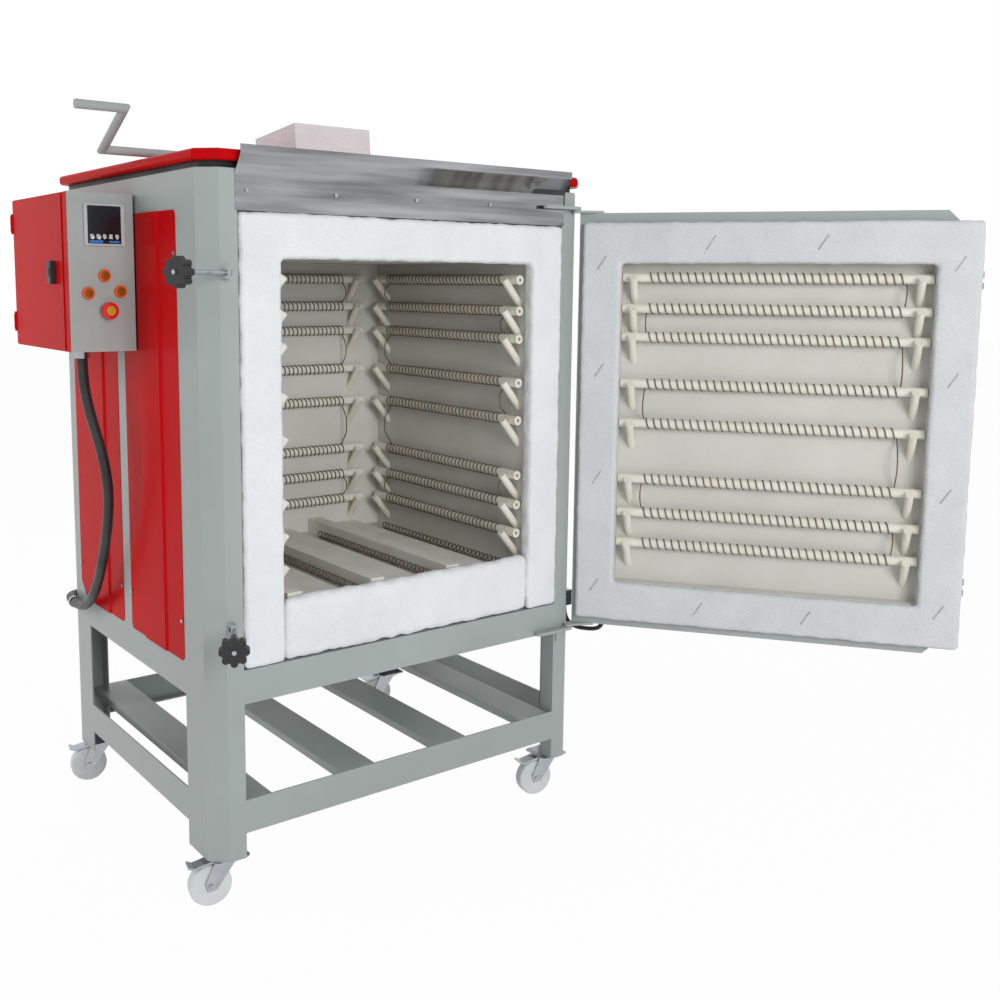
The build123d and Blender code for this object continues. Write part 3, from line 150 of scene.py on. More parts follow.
COATS: dict[Finish, Coat] = {
    Finish.RED_ENAMEL: Coat(
        (0.60, 0.004, 0.006), (0.50, 0.003, 0.004), roughness=0.3, patch_scale=2.0, grain_scale=420.0,
        grain=0.05, grain_depth=0.0002, roughness_drift=0.06, specular=0.03,
    ),
    Finish.GREY_ENAMEL: Coat(
        (0.40, 0.44, 0.425), (0.355, 0.39, 0.375), roughness=0.42, patch_scale=3.0, grain_scale=520.0,
        grain=0.12, grain_depth=0.0002, clear_coat=0.05, specular=0.3,
    ),
    Finish.BLACK_PAINT: Coat((0.012, 0.012, 0.012), (0.03, 0.03, 0.03)),
    # Painted reflection: the much darker drift colour, stretched into thin horizontal bands, paints the
    # dark stripes that the polished shield reflects.
    Finish.POLISHED_STEEL: Coat(
        (0.42, 0.435, 0.45), (0.2, 0.2, 0.205), roughness=0.08, metallic=1.0, patch_scale=5.0,
        grain_scale=40.0, grain=0.05, roughness_drift=0.04, stretch=(0.6, 1.0, 9.0),
    ),
    Finish.ZINC: Coat(
        (0.50, 0.53, 0.56), (0.36, 0.38, 0.41), roughness=0.3, metallic=1.0, patch_scale=30.0,
        grain_scale=300.0, grain=0.1, grain_depth=0.0002, roughness_drift=0.16,
    ),
    Finish.FIBRE: Coat(
        (0.84, 0.86, 0.875), (0.78, 0.80, 0.815), roughness=0.95, patch_scale=9.0, grain_scale=90.0,
        grain=0.5, grain_depth=0.003, roughness_drift=0.05, sheen=0.1, quilt=0.5, specular=0.1,
    ),
    # Painted shade: the same fibre colours as the mouth frame, made darker to stand in for the lesser light
    # on the open door's face.
    Finish.DOOR_FIBRE: Coat(
        (0.70, 0.72, 0.735), (0.64, 0.66, 0.675), roughness=0.95, patch_scale=9.0, grain_scale=90.0,
        grain=0.5, grain_depth=0.003, roughness_drift=0.05, sheen=0.1, quilt=0.55, specular=0.1,
    ),
    Finish.LINING: Coat(
        (0.70, 0.69, 0.645), (0.64, 0.63, 0.585), roughness=0.95, patch_scale=5.0, grain_scale=130.0,
        grain=0.35, grain_depth=0.001, roughness_drift=0.05, quilt=0.2, specular=0.1,
    ),
    Finish.BEIGE_CERAMIC: Coat(
        (0.86, 0.85, 0.81), (0.79, 0.77, 0.71), roughness=0.75, patch_scale=12.0, grain_scale=260.0,
        grain=0.3, grain_depth=0.0006, specular=0.25,
    ),
    Finish.WHITE_CERAMIC: Coat(
        (0.86, 0.835, 0.745), (0.79, 0.755, 0.65), roughness=0.7, patch_scale=14.0, grain_scale=260.0,
        grain=0.25, grain_depth=0.0005, specular=0.3,
    ),
    Finish.WIRE: Coat(
        (0.13, 0.105, 0.085), (0.24, 0.165, 0.105), metallic=0.5, patch_scale=18.0, grain_scale=500.0,
        grain=0.2, grain_depth=0.0002,
    ),
    Finish.BLACK_PLASTIC: Coat(
        (0.012, 0.012, 0.013), (0.02, 0.02, 0.021), roughness=0.42, patch_scale=20.0, grain_scale=700.0,
        grain=0.15, grain_depth=0.0003,
    ),
    Finish.GREY_PLASTIC: Coat(
        (0.52, 0.53, 0.54), (0.47, 0.48, 0.49), roughness=0.4, patch_scale=20.0, grain_scale=700.0,
        grain=0.1, grain_depth=0.0002,
    ),
    Finish.ORANGE_LENS: Coat(
        (0.78, 0.10, 0.004), (0.62, 0.06, 0.003), roughness=0.2, patch_scale=60.0, grain_scale=200.0,
        grain=0.05, grain_depth=0.0002, roughness_drift=0.04, clear_coat=0.3, glow=0.06, specular=0.3,
    ),
    Finish.AMBER_LENS: Coat(
        (0.30, 0.085, 0.004), (0.20, 0.05, 0.003), roughness=0.3, patch_scale=160.0, grain_scale=900.0,
        grain=0.4, roughness_drift=0.05, clear_coat=0.2, specular=0.3,
    ),
    Finish.RED_PLASTIC: Coat(
        (0.82, 0.006, 0.012), (0.72, 0.004, 0.008), roughness=0.3, patch_scale=30.0, grain_scale=500.0,
        grain=0.05, grain_depth=0.0002, roughness_drift=0.05, clear_coat=0.1,
    ),
    Finish.YELLOW_PLASTIC: Coat(
        (0.55, 0.36, 0.02), (0.45, 0.28, 0.015), roughness=0.4, patch_scale=90.0, grain_scale=500.0,
        grain=0.1, grain_depth=0.0002,
    ),
    Finish.NYLON: Coat(
        (0.72, 0.75, 0.74), (0.62, 0.65, 0.65), roughness=0.42, patch_scale=14.0, grain_scale=300.0,
        grain=0.15,
    ),
    Finish.RUBBER: Coat(
        (0.014, 0.014, 0.015), (0.03, 0.03, 0.032), roughness=0.42, patch_scale=12.0, grain_scale=400.0,
        grain=0.2, grain_depth=0.0003,
    ),
    Finish.SCREEN: Coat(
        (0.008, 0.009, 0.012), (0.012, 0.013, 0.017), roughness=0.2, patch_scale=30.0, grain_scale=300.0,
        grain=0.02, grain_depth=0.0001, roughness_drift=0.03, clear_coat=0.2, specular=0.3,
    ),
    Finish.SCREEN_BLUE: Coat((0.02, 0.16, 0.48), (0.02, 0.12, 0.4), roughness=0.3, glow=0.25),
    Finish.SCREEN_WHITE: Coat((0.75, 0.77, 0.78), (0.65, 0.67, 0.69), roughness=0.4, glow=0.15),
}


@dataclass(frozen=True)
class Quilt:
    """The needle marks of a fibre blanket: slanting rows that small cells break up."""

    slant: Point = (0.0, math.radians(38.0), math.radians(20.0))
    row_scale: float = 52.0
    distortion: float = 1.6
    detail: float = 2.0
    detail_scale: float = 3.0
    mark_scale: float = 150.0
    depth: float = 0.0016


NODE_FINISH: dict[str, Finish] = {
    "corner_posts": Finish.GREY_ENAMEL,
    "frame_rails": Finish.GREY_ENAMEL,
    "shelf_bars": Finish.GREY_ENAMEL,
    "casing_sheets": Finish.GREY_ENAMEL,
    "red_panels": Finish.RED_ENAMEL,
    "gap_band": Finish.BLACK_PAINT,
    "top_cover": Finish.RED_ENAMEL,
    "heat_shield": Finish.POLISHED_STEEL,
    "body_screws": Finish.ZINC,
    "chamber_walls": Finish.LINING,
    "chamber_floor": Finish.LINING,
    "hearth": Finish.BEIGE_CERAMIC,
    "wall_tubes": Finish.WHITE_CERAMIC,
    "wall_pegs": Finish.WHITE_CERAMIC,
    "hinge_straps": Finish.GREY_ENAMEL,
    "latch_ears": Finish.GREY_ENAMEL,
    "control_box": Finish.RED_ENAMEL,
    "control_panel": Finish.GREY_ENAMEL,
    "controller": Finish.GREY_PLASTIC,
    "pilot_lamps": Finish.ORANGE_LENS,
    "lead_fittings": Finish.ZINC,
    "caster_plates": Finish.ZINC,
    "vent_bearings": Finish.ZINC,
    "door_pan": Finish.GREY_ENAMEL,
    "door_board": Finish.LINING,
    "door_staples": Finish.ZINC,
    "door_tubes": Finish.WHITE_CERAMIC,
    "door_pegs": Finish.WHITE_CERAMIC,
    "door_lugs": Finish.GREY_ENAMEL,
    "upper_bolt": Finish.ZINC,
    "lower_bolt": Finish.ZINC,
    "upper_washer": Finish.ZINC,
    "lower_washer": Finish.ZINC,
    "upper_knob": Finish.BLACK_PLASTIC,
    "lower_knob": Finish.BLACK_PLASTIC,
    "stop_button": Finish.RED_PLASTIC,
    "control_door": Finish.RED_ENAMEL,
    "box_latch": Finish.BLACK_PLASTIC,
    "vent_crank": Finish.GREY_ENAMEL,
    "vent_flap": Finish.FIBRE,
}


class Paintshop:
    """Makes each finish once as a node material and puts it on pieces."""

    PATCH_DETAIL = 4.0
    GRAIN_DETAIL = 3.0
    COLOUR_BAND = (0.3, 0.7)
    GLOSS_BAND = (0.25, 0.75)
    LEAST_ROUGHNESS = 0.02
    CLEAR_COAT_ROUGHNESS = 0.08

    def __init__(self) -> None:
        """Starts with no finish made."""
        self.made: dict[Finish, bpy.types.Material] = {}

    def get(self, finish: Finish) -> bpy.types.Material:
        """Returns the material of a finish, made the first time it is asked for.

        Args:
            finish: Which finish.

        Returns:
            Its node material.
        """
        if finish not in self.made:
            self.made[finish] = self._make(finish, COATS[finish])
        return self.made[finish]

    def _make(self, finish: Finish, coat: Coat) -> bpy.types.Material:
        """Builds the node tree of one finish.

        Args:
            finish: Which finish, for the material's name.
            coat: Its colours, gloss and grain.

        Returns:
            The new material.
        """
        material = bpy.data.materials.new(finish.value)
        material.use_nodes = True
        tree = material.node_tree
        nodes, links = tree.nodes, tree.links
        shader = nodes["Principled BSDF"]
        shader.inputs["Metallic"].default_value = coat.metallic
        shader.inputs["Coat Weight"].default_value = coat.clear_coat
        shader.inputs["Coat Roughness"].default_value = self.CLEAR_COAT_ROUGHNESS
        shader.inputs["Sheen Weight"].default_value = coat.sheen
        shader.inputs["Specular IOR Level"].default_value = coat.specular
        coordinates = nodes.new("ShaderNodeTexCoord")
        mapping = nodes.new("ShaderNodeMapping")
        mapping.inputs["Scale"].default_value = coat.stretch
        links.new(coordinates.outputs["Object"], mapping.inputs["Vector"])
        patches = self._noise(tree, mapping, coat.patch_scale, self.PATCH_DETAIL)
        grain = self._noise(tree, mapping, coat.grain_scale, self.GRAIN_DETAIL)
        colours = nodes.new("ShaderNodeMix")
        colours.data_type = "RGBA"
        colours.inputs[MIX_A].default_value = (*coat.drift, 1.0)
        colours.inputs[MIX_B].default_value = (*coat.colour, 1.0)
        spread = self._range(tree, patches.outputs["Fac"], self.COLOUR_BAND, (0.0, 1.0))
        links.new(spread.outputs["Result"], colours.inputs[MIX_FACTOR])
        links.new(colours.outputs[MIX_RESULT], shader.inputs["Base Color"])
        low = max(self.LEAST_ROUGHNESS, coat.roughness - coat.roughness_drift)
        high = min(1.0, coat.roughness + coat.roughness_drift)
        gloss = self._range(tree, patches.outputs["Fac"], self.GLOSS_BAND, (low, high))
        links.new(gloss.outputs["Result"], shader.inputs["Roughness"])
        bump = nodes.new("ShaderNodeBump")
        bump.inputs["Strength"].default_value = coat.grain
        bump.inputs["Distance"].default_value = coat.grain_depth
        links.new(grain.outputs["Fac"], bump.inputs["Height"])
        last = bump
        if coat.quilt > 0.0:
            last = self._quilt(tree, coordinates, bump, coat.quilt)
        links.new(last.outputs["Normal"], shader.inputs["Normal"])
        if coat.glow > 0.0:
            shader.inputs["Emission Color"].default_value = (*coat.colour, 1.0)
            shader.inputs["Emission Strength"].default_value = coat.glow
        return material

    @staticmethod
    def _noise(
        tree: bpy.types.NodeTree, mapping: bpy.types.Node, scale: float, detail: float
    ) -> bpy.types.Node:
        """Adds a noise texture on a mapping.

        Args:
            tree: The material's tree.
            mapping: Its Mapping node.
            scale: How fine the noise is.
            detail: How many finer layers it has.

        Returns:
            The noise node.
        """
        node = tree.nodes.new("ShaderNodeTexNoise")
        node.inputs["Scale"].default_value = scale
        node.inputs["Detail"].default_value = detail
        tree.links.new(mapping.outputs["Vector"], node.inputs["Vector"])
        return node

    @staticmethod
    def _range(
        tree: bpy.types.NodeTree,
        source: bpy.types.NodeSocket,
        band: tuple[float, float],
        onto: tuple[float, float],
    ) -> bpy.types.Node:
        """Adds a Map Range node on a value.

        Args:
            tree: The material's tree.
            source: The value's socket.
            band: The least and the greatest value that count.
            onto: What these two become.

        Returns:
            The Map Range node.
        """
        node = tree.nodes.new("ShaderNodeMapRange")
        for key, value in zip(("From Min", "From Max", "To Min", "To Max"), (*band, *onto)):
            node.inputs[key].default_value = value
        tree.links.new(source, node.inputs["Value"])
        return node

    @staticmethod
    def _quilt(
        tree: bpy.types.NodeTree, coordinates: bpy.types.Node, under: bpy.types.Node, strength: float
    ) -> bpy.types.Node:
        """Adds the slanting rows of needle marks that a fibre blanket has.

        Args:
            tree: The material's tree.
            coordinates: Its Texture Coordinate node.
            under: The bump node of the finer grain.
            strength: How deep the rows look.

        Returns:
            The bump node that carries both.
        """
        quilt = Quilt()
        nodes, links = tree.nodes, tree.links
        turn = nodes.new("ShaderNodeMapping")
        turn.inputs["Rotation"].default_value = quilt.slant
        links.new(coordinates.outputs["Object"], turn.inputs["Vector"])
        rows = nodes.new("ShaderNodeTexWave")
        rows.inputs["Scale"].default_value = quilt.row_scale
        rows.inputs["Distortion"].default_value = quilt.distortion
        rows.inputs["Detail"].default_value = quilt.detail
        rows.inputs["Detail Scale"].default_value = quilt.detail_scale
        links.new(turn.outputs["Vector"], rows.inputs["Vector"])
        marks = nodes.new("ShaderNodeTexVoronoi")
        marks.inputs["Scale"].default_value = quilt.mark_scale
        links.new(turn.outputs["Vector"], marks.inputs["Vector"])
        both = nodes.new("ShaderNodeMath")
        both.operation = "MULTIPLY"
        links.new(rows.outputs["Fac"], both.inputs[0])
        links.new(marks.outputs["Distance"], both.inputs[1])
        bump = nodes.new("ShaderNodeBump")
        bump.inputs["Strength"].default_value = strength
        bump.inputs["Distance"].default_value = quilt.depth
        links.new(both.outputs["Value"], bump.inputs["Height"])
        links.new(under.outputs["Normal"], bump.inputs["Normal"])
        return bump

    def dress(self, piece: bpy.types.Object, finish: Finish) -> None:
        """Gives a new piece one finish."""
        piece.data.materials.clear()
        piece.data.materials.append(self.get(finish))

    def dress_node(self, node: bpy.types.Object, finish: Finish) -> None:
        """Gives a CAD node one finish through its object's material slots.

        Args:
            node: The node's object.
            finish: Its finish.
        """
        for slot in node.material_slots:
            slot.link = "OBJECT"
            slot.material = self.get(finish)


def only(piece: bpy.types.Object) -> None:
    """Selects one object alone and makes it active.

    Args:
        piece: The object.
    """
    bpy.ops.object.select_all(action="DESELECT")
    piece.select_set(True)
    bpy.context.view_layer.objects.active = piece


def settle(piece: bpy.types.Object) -> None:
    """Moves a piece's place, turn and scale into its mesh."""
    only(piece)
    bpy.ops.object.transform_apply(location=True, rotation=True, scale=True)


def apply_modifier(piece: bpy.types.Object, kind: str, **settings: object) -> None:
    """Adds a modifier, sets it and applies it.

    Args:
        piece: The piece to change.
        kind: The modifier's type.
        settings: Its properties by name.
    """
    only(piece)
    modifier = piece.modifiers.new(kind.lower(), kind)
    for key, value in settings.items():
        setattr(modifier, key, value)
    bpy.ops.object.modifier_apply(modifier=modifier.name)


def add_block(name: str, low: Point, high: Point) -> bpy.types.Object:
    """Adds a block between two corners of the casing's frame.

    Args:
        name: The piece's name.
        low: Its lowest corner in millimetres.
        high: Its highest corner in millimetres.

    Returns:
        The new object, settled at the origin.
    """
    bottom, top = place(low), place(high)
    bpy.ops.object.select_all(action="DESELECT")
    bpy.ops.mesh.primitive_cube_add(size=1.0, location=(bottom + top) / 2, scale=top - bottom)
    piece = bpy.context.object
    piece.name = name
    settle(piece)
    return piece


def add_disc(name: str, at: Point, radius: float, depth: float, sides: int = 48) -> bpy.types.Object:
    """Adds a round piece whose axis runs into the depth, its front face at the given place.

    Args:
        name: The piece's name.
        at: The middle of its front face in the casing's frame.
        radius: Its radius in millimetres.
        depth: Its length in millimetres.
        sides: How many sides it has.

    Returns:
        The new object, settled at the origin.
    """
    bpy.ops.object.select_all(action="DESELECT")
    middle = place((at[0], at[1] + depth / 2, at[2]))
    bpy.ops.mesh.primitive_cylinder_add(
        vertices=sides,
        radius=radius / 1000,
        depth=depth / 1000,
        location=middle,
        rotation=(math.pi / 2, 0.0, 0.0),
    )
    piece = bpy.context.object
    piece.name = name
    settle(piece)
    edge = min(radius, depth) * DISC_EDGE
    apply_modifier(piece, "BEVEL", width=edge / 1000, segments=3, limit_method="ANGLE")
    bpy.ops.object.shade_smooth_by_angle(angle=SMOOTH_ANGLE)
    return piece


def swing_open(piece: bpy.types.Object) -> None:
    """Turns a piece made on the shut door to where the open door has it.

    Args:
        piece: The piece, in metres in the row frame.
    """
    pin = place(HINGE)
    turn = Matrix.Translation(pin) @ Matrix.Rotation(DOOR_OPEN, 4, "Z") @ Matrix.Translation(-pin)
    piece.data.transform(turn)


def wire_mesh(name: str, lines: list[list[Vector]], radius: float) -> bpy.types.Object:
    """Makes round wires along lines of points as one mesh.

    Args:
        name: The piece's name.
        lines: One list of points in metres for each wire.
        radius: The wire's radius in millimetres.

    Returns:
        The new mesh object.
    """
    curve = bpy.data.curves.new(name, "CURVE")
    curve.dimensions = "3D"
    curve.bevel_depth = radius / 1000
    curve.bevel_resolution = 1
    curve.use_fill_caps = True
    for line in lines:
        spline = curve.splines.new("POLY")
        spline.points.add(len(line) - 1)
        for spot, point in zip(spline.points, line):
            spot.co = (*point, 1.0)
    piece = bpy.data.objects.new(name, curve)
    bpy.context.collection.objects.link(piece)
    only(piece)
    bpy.ops.object.convert(target="MESH")
    piece = bpy.context.object
    bpy.ops.object.shade_smooth()
    return piece


@dataclass
class FibreFrame:
    """A frame or strip of needled fibre blanket with soft, slightly uneven edges, in millimetres.

    Its surface moves by swell and its cut edges by ragged too. The rates are waves in a metre.
    """

    name: str
    low: Point
    high: Point
    hole_low: tuple[float, float] | None = None
    hole_high: tuple[float, float] | None = None
    voxel: float = 5.0
    roundness: float = 9.0
    swell: float = 1.3
    ragged: float = 1.8
    swell_rate: float = 14.0
    dimple_rate: float = 70.0
    dimple_share: float = 0.35
    ragged_rate: float = 38.0
    cutter_margin: float = 20.0

    def build(self) -> bpy.types.Object:
        """Cuts the blanket, rounds its edges and makes its surface uneven.

        Returns:
            The finished mesh object.
        """
        piece = add_block(self.name, self.low, self.high)
        if self.hole_low and self.hole_high:
            cutter = add_block(
                "cutter",
                (self.hole_low[0], self.low[1] - self.cutter_margin, self.hole_low[1]),
                (self.hole_high[0], self.high[1] + self.cutter_margin, self.hole_high[1]),
            )
            apply_modifier(piece, "BOOLEAN", object=cutter, operation="DIFFERENCE", solver="EXACT")
            bpy.data.objects.remove(cutter)
        apply_modifier(piece, "BEVEL", width=self.roundness / 1000, segments=3, limit_method="ANGLE")
        apply_modifier(piece, "REMESH", mode="VOXEL", voxel_size=self.voxel / 1000, use_smooth_shade=True)
        apply_modifier(piece, "SMOOTH", factor=0.5, iterations=3)
        self._ripple(piece)
        return piece

    def _ripple(self, piece: bpy.types.Object) -> None:
        """Moves the surface in and out a little, more at the cut edges than on the faces.

        Args:
            piece: The remeshed blanket.
        """
        mesh = piece.data
        moves = []
        for vertex in mesh.vertices:
            slow = noise.noise(vertex.co * self.swell_rate) * self.swell
            fine = noise.noise(vertex.co * self.dimple_rate) * self.dimple_share * self.swell
            edge = abs(vertex.normal.x) + abs(vertex.normal.z)
            rough = noise.noise(vertex.co * self.ragged_rate) * self.ragged * min(1.0, edge)
            moves.append(vertex.normal * ((slow + fine + rough) / 1000.0))
        for vertex, move in zip(mesh.vertices, moves):
            vertex.co += move
        mesh.update()


@dataclass
class Windings:
    """The heating wires: one winding round each carrier tube, and the links that join the rows.

    A winding has the radius winding and stops short of the tube's ends by end. Its radius wavers a
    little from turn to turn. A link leaves its winding on the wall's side, comes forward past the pegs
    and goes back to the wall at the next row. It bows out by link_bow and wavers by link_waver.
    """

    wire: float = 1.75
    turns: int = 33
    winding: float = 13.6
    end: float = 66.0
    steps: int = 14
    waver: float = 0.012
    waver_along: float = 0.07
    waver_across: float = 0.01
    link_steps: int = 18
    link_clear: float = 1.5
    link_bow: float = 1.4
    link_waver: float = 0.88
    link_waver_rate: float = 5.1
    link_forward: float = 2.4

    def helix(self, start: Vector, end: Vector, down: Vector) -> list[Vector]:
        """Returns the points of a winding between two points of a tube's axis.

        Args:
            start: Where the winding starts, in the casing's frame.
            end: Where it ends.
            down: The direction in which both of its ends leave the tube.

        Returns:
            The points in the casing's frame.
        """
        along = (end - start).normalized()
        side = along.cross(down).normalized()
        count = self.turns * self.steps
        points = []
        for i in range(count + 1):
            share = i / count
            angle = 2 * math.pi * self.turns * share
            along_wire = i * self.waver_along
            spot = Vector((along_wire, start.z * self.waver_across, start.x * self.waver_across))
            radius = self.winding * (1.0 + self.waver * noise.noise(spot))
            around = math.cos(angle) * down + math.sin(angle) * side
            points.append(start.lerp(end, share) + radius * around)
        return points

    def rows(
        self, start: Vector, end: Vector, heights: tuple[float, ...], into: Vector
    ) -> list[list[Vector]]:
        """Returns the lines of a stack of windings joined at alternate ends.

        Args:
            start: One end of the tubes' axes, at height zero.
            end: The other end.
            heights: The rows, from the top down.
            into: The direction away from the wall.

        Returns:
            The lines in the casing's frame.
        """
        along = (end - start).normalized()
        first = start + along * self.end
        last = end - along * self.end
        lines = []
        for row, height in enumerate(heights):
            lines.append(self.helix(first + UP * height, last + UP * height, -into))
            if row == 0:
                continue
            above = UP * heights[row - 1]
            below = UP * height
            if row % 2 == 0:
                lines.append(self.link(first + above, first + below, -along, into, row))
            else:
                lines.append(self.link(last + above, last + below, along, into, row))
        return lines

    def link(self, top: Vector, bottom: Vector, away: Vector, into: Vector, row: int) -> list[Vector]:
        """Returns the points of the wire that joins two rows at one end.

        Args:
            top: The axis of the upper row at that end, in the casing's frame.
            bottom: The axis of the lower row there.
            away: The direction out of the windings' end.
            into: The direction away from the wall.
            row: The lower row's number, which shifts the link's wavering.

        Returns:
            The points in the casing's frame.
        """
        points = []
        for i in range(self.link_steps + 1):
            share = i / self.link_steps
            waver = self.link_waver * math.sin(self.link_waver_rate * share + row)
            out = self.link_clear + self.link_bow * math.sin(math.pi * share) + waver
            turn = math.pi * min(1.0, self.link_forward * min(share, 1 - share))
            back = self.winding * math.cos(turn)
            points.append(top.lerp(bottom, share) + away * out - into * back)
        return points


@dataclass
class Chamber:
    """The inside of the kiln: the windings of three walls, and those in the gaps of the hearth."""

    rows: tuple[float, ...] = (1459.0, 1377.0, 1303.0, 1186.0, 1085.0, 936.0, 856.0, 778.0)
    wall: float = 358.0
    front: float = -436.0
    back: float = 255.0
    rear_y: float = 263.0
    rear_half: float = 303.0
    floor_rows: int = 3
    first_slab: float = -342.0
    slab_pitch: float = 232.0
    floor_inset: float = 15.6
    floor_z: float = 692.0
    floor_front: float = -430.0
    floor_back: float = 192.0
    floor_winding: float = 9.6
    floor_turns: int = 34
    floor_steps: int = 12

    def build(self, shop: Paintshop) -> None:
        """Builds and dresses the windings of the walls and of the floor.

        Args:
            shop: Where finishes come from.
        """
        self._walls(shop)
        self._floor(shop)
        LOG.info("chamber windings made")

    def _walls(self, shop: Paintshop) -> None:
        """Builds the windings of the two side walls and the rear wall.

        Args:
            shop: Where finishes come from.
        """
        windings = Windings()
        lines = []
        for side in (-1, 1):
            start = Vector((side * self.wall, self.front, 0))
            end = Vector((side * self.wall, self.back, 0))
            lines += windings.rows(start, end, self.rows, Vector((-side, 0, 0)))
        start = Vector((-self.rear_half, self.rear_y, 0))
        end = Vector((self.rear_half, self.rear_y, 0))
        lines += windings.rows(start, end, self.rows, Vector((0, -1, 0)))
        spots = [[place(point) for point in line] for line in lines]
        piece = wire_mesh("wall_windings", spots, windings.wire)
        shop.dress(piece, Finish.WIRE)
        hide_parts("wall_coils")
        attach(piece, Body.FRAME.value)

    def _floor(self, shop: Paintshop) -> None:
        """Builds the windings that lie between the slabs of the hearth.

        Args:
            shop: Where finishes come from.
        """
        windings = Windings(winding=self.floor_winding, turns=self.floor_turns, steps=self.floor_steps)
        lines = []
        for row in range(self.floor_rows):
            x = self.first_slab + (row + 1) * self.slab_pitch - self.floor_inset
            start = Vector((x, self.floor_front, self.floor_z))
            end = Vector((x, self.floor_back, self.floor_z))
            lines.append([place(point) for point in windings.helix(start, end, -UP)])
        piece = wire_mesh("floor_windings", lines, windings.wire)
        shop.dress(piece, Finish.WIRE)
        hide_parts("floor_coils")
        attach(piece, Body.FRAME.value)


@dataclass
class Door:
    """The soft face and the windings of the door, drawn shut and then swung open."""

    rows: tuple[float, ...] = (1468.0, 1386.0, 1310.0, 1184.0, 1077.0, 924.0, 831.0, 746.0)
    line: float = -522.0
    start: float = 386.0
    length: float = 774.0
    face_low: Point = (-494.0, -508.0, 531.0)
    face_high: Point = (492.0, -482.0, 1612.0)
    hole_low: tuple[float, float] = (-390.0, 637.0)
    hole_high: tuple[float, float] = (388.0, 1505.0)

    def build(self, shop: Paintshop) -> None:
        """Builds and dresses the door's fibre frame and its windings.

        Args:
            shop: Where finishes come from.
        """
        face = FibreFrame(
            "door_face", self.face_low, self.face_high, self.hole_low, self.hole_high
        ).build()
        swing_open(face)
        # The door's face takes the darker copy of the fibre, which paints in the shade of the open door.
        shop.dress(face, Finish.DOOR_FIBRE)
        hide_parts("door_blanket")
        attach(face, Body.DOOR.value)
        windings = Windings()
        start = Vector((self.start, self.line, 0))
        end = Vector((self.start - self.length, self.line, 0))
        lines = windings.rows(start, end, self.rows, Vector((0, 1, 0)))
        spots = [[place(on_door(point)) for point in line] for line in lines]
        piece = wire_mesh("door_windings", spots, windings.wire)
        shop.dress(piece, Finish.WIRE)
        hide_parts("door_coils")
        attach(piece, Body.DOOR.value)
        LOG.info("door face and windings made")


@dataclass
class Mouth:
    """The fibre frame round the opening, open below, and the sill strip between its jambs."""

    half: float = 470.0
    jamb: float = 368.0
    bottom: float = 573.0
    sill_top: float = 721.0
    lintel: float = 1500.0
    top: float = 1600.0
    face: float = -478.0
    back: float = -440.0
    cut_below: float = 23.0

    def build(self, shop: Paintshop) -> None:
        """Builds and dresses both pieces.

        Args:
            shop: Where finishes come from.
        """
        ring = FibreFrame(
            "mouth_ring",
            (-self.half, self.face, self.bottom),
            (self.half, self.back, self.top),
            (-self.jamb, self.bottom - self.cut_below),
            (self.jamb, self.lintel),
            swell=1.6,
            ragged=2.6,
        ).build()
        sill = FibreFrame(
            "mouth_sill",
            (-self.jamb, self.face, self.bottom),
            (self.jamb, self.back, self.sill_top),
            swell=1.8,
            ragged=3.6,
            roundness=17.0,
        ).build()
        for piece, node in ((ring, "front_blanket"), (sill, "front_sill")):
            shop.dress(piece, Finish.FIBRE)
            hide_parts(node)
            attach(piece, Body.FRAME.value)
        LOG.info("fibre frame and sill made")


@dataclass(frozen=True)
class Bar:
    """A coloured bar on the controller's glass: its two ends from the middle, and its height."""

    left: float
    right: float
    tall: float


@dataclass(frozen=True)
class KeyMark:
    """A mark on a membrane key: its place from the middle, and its shape as a regular polygon."""

    across: float
    radius: float
    sides: int
    turn: float = 0.0


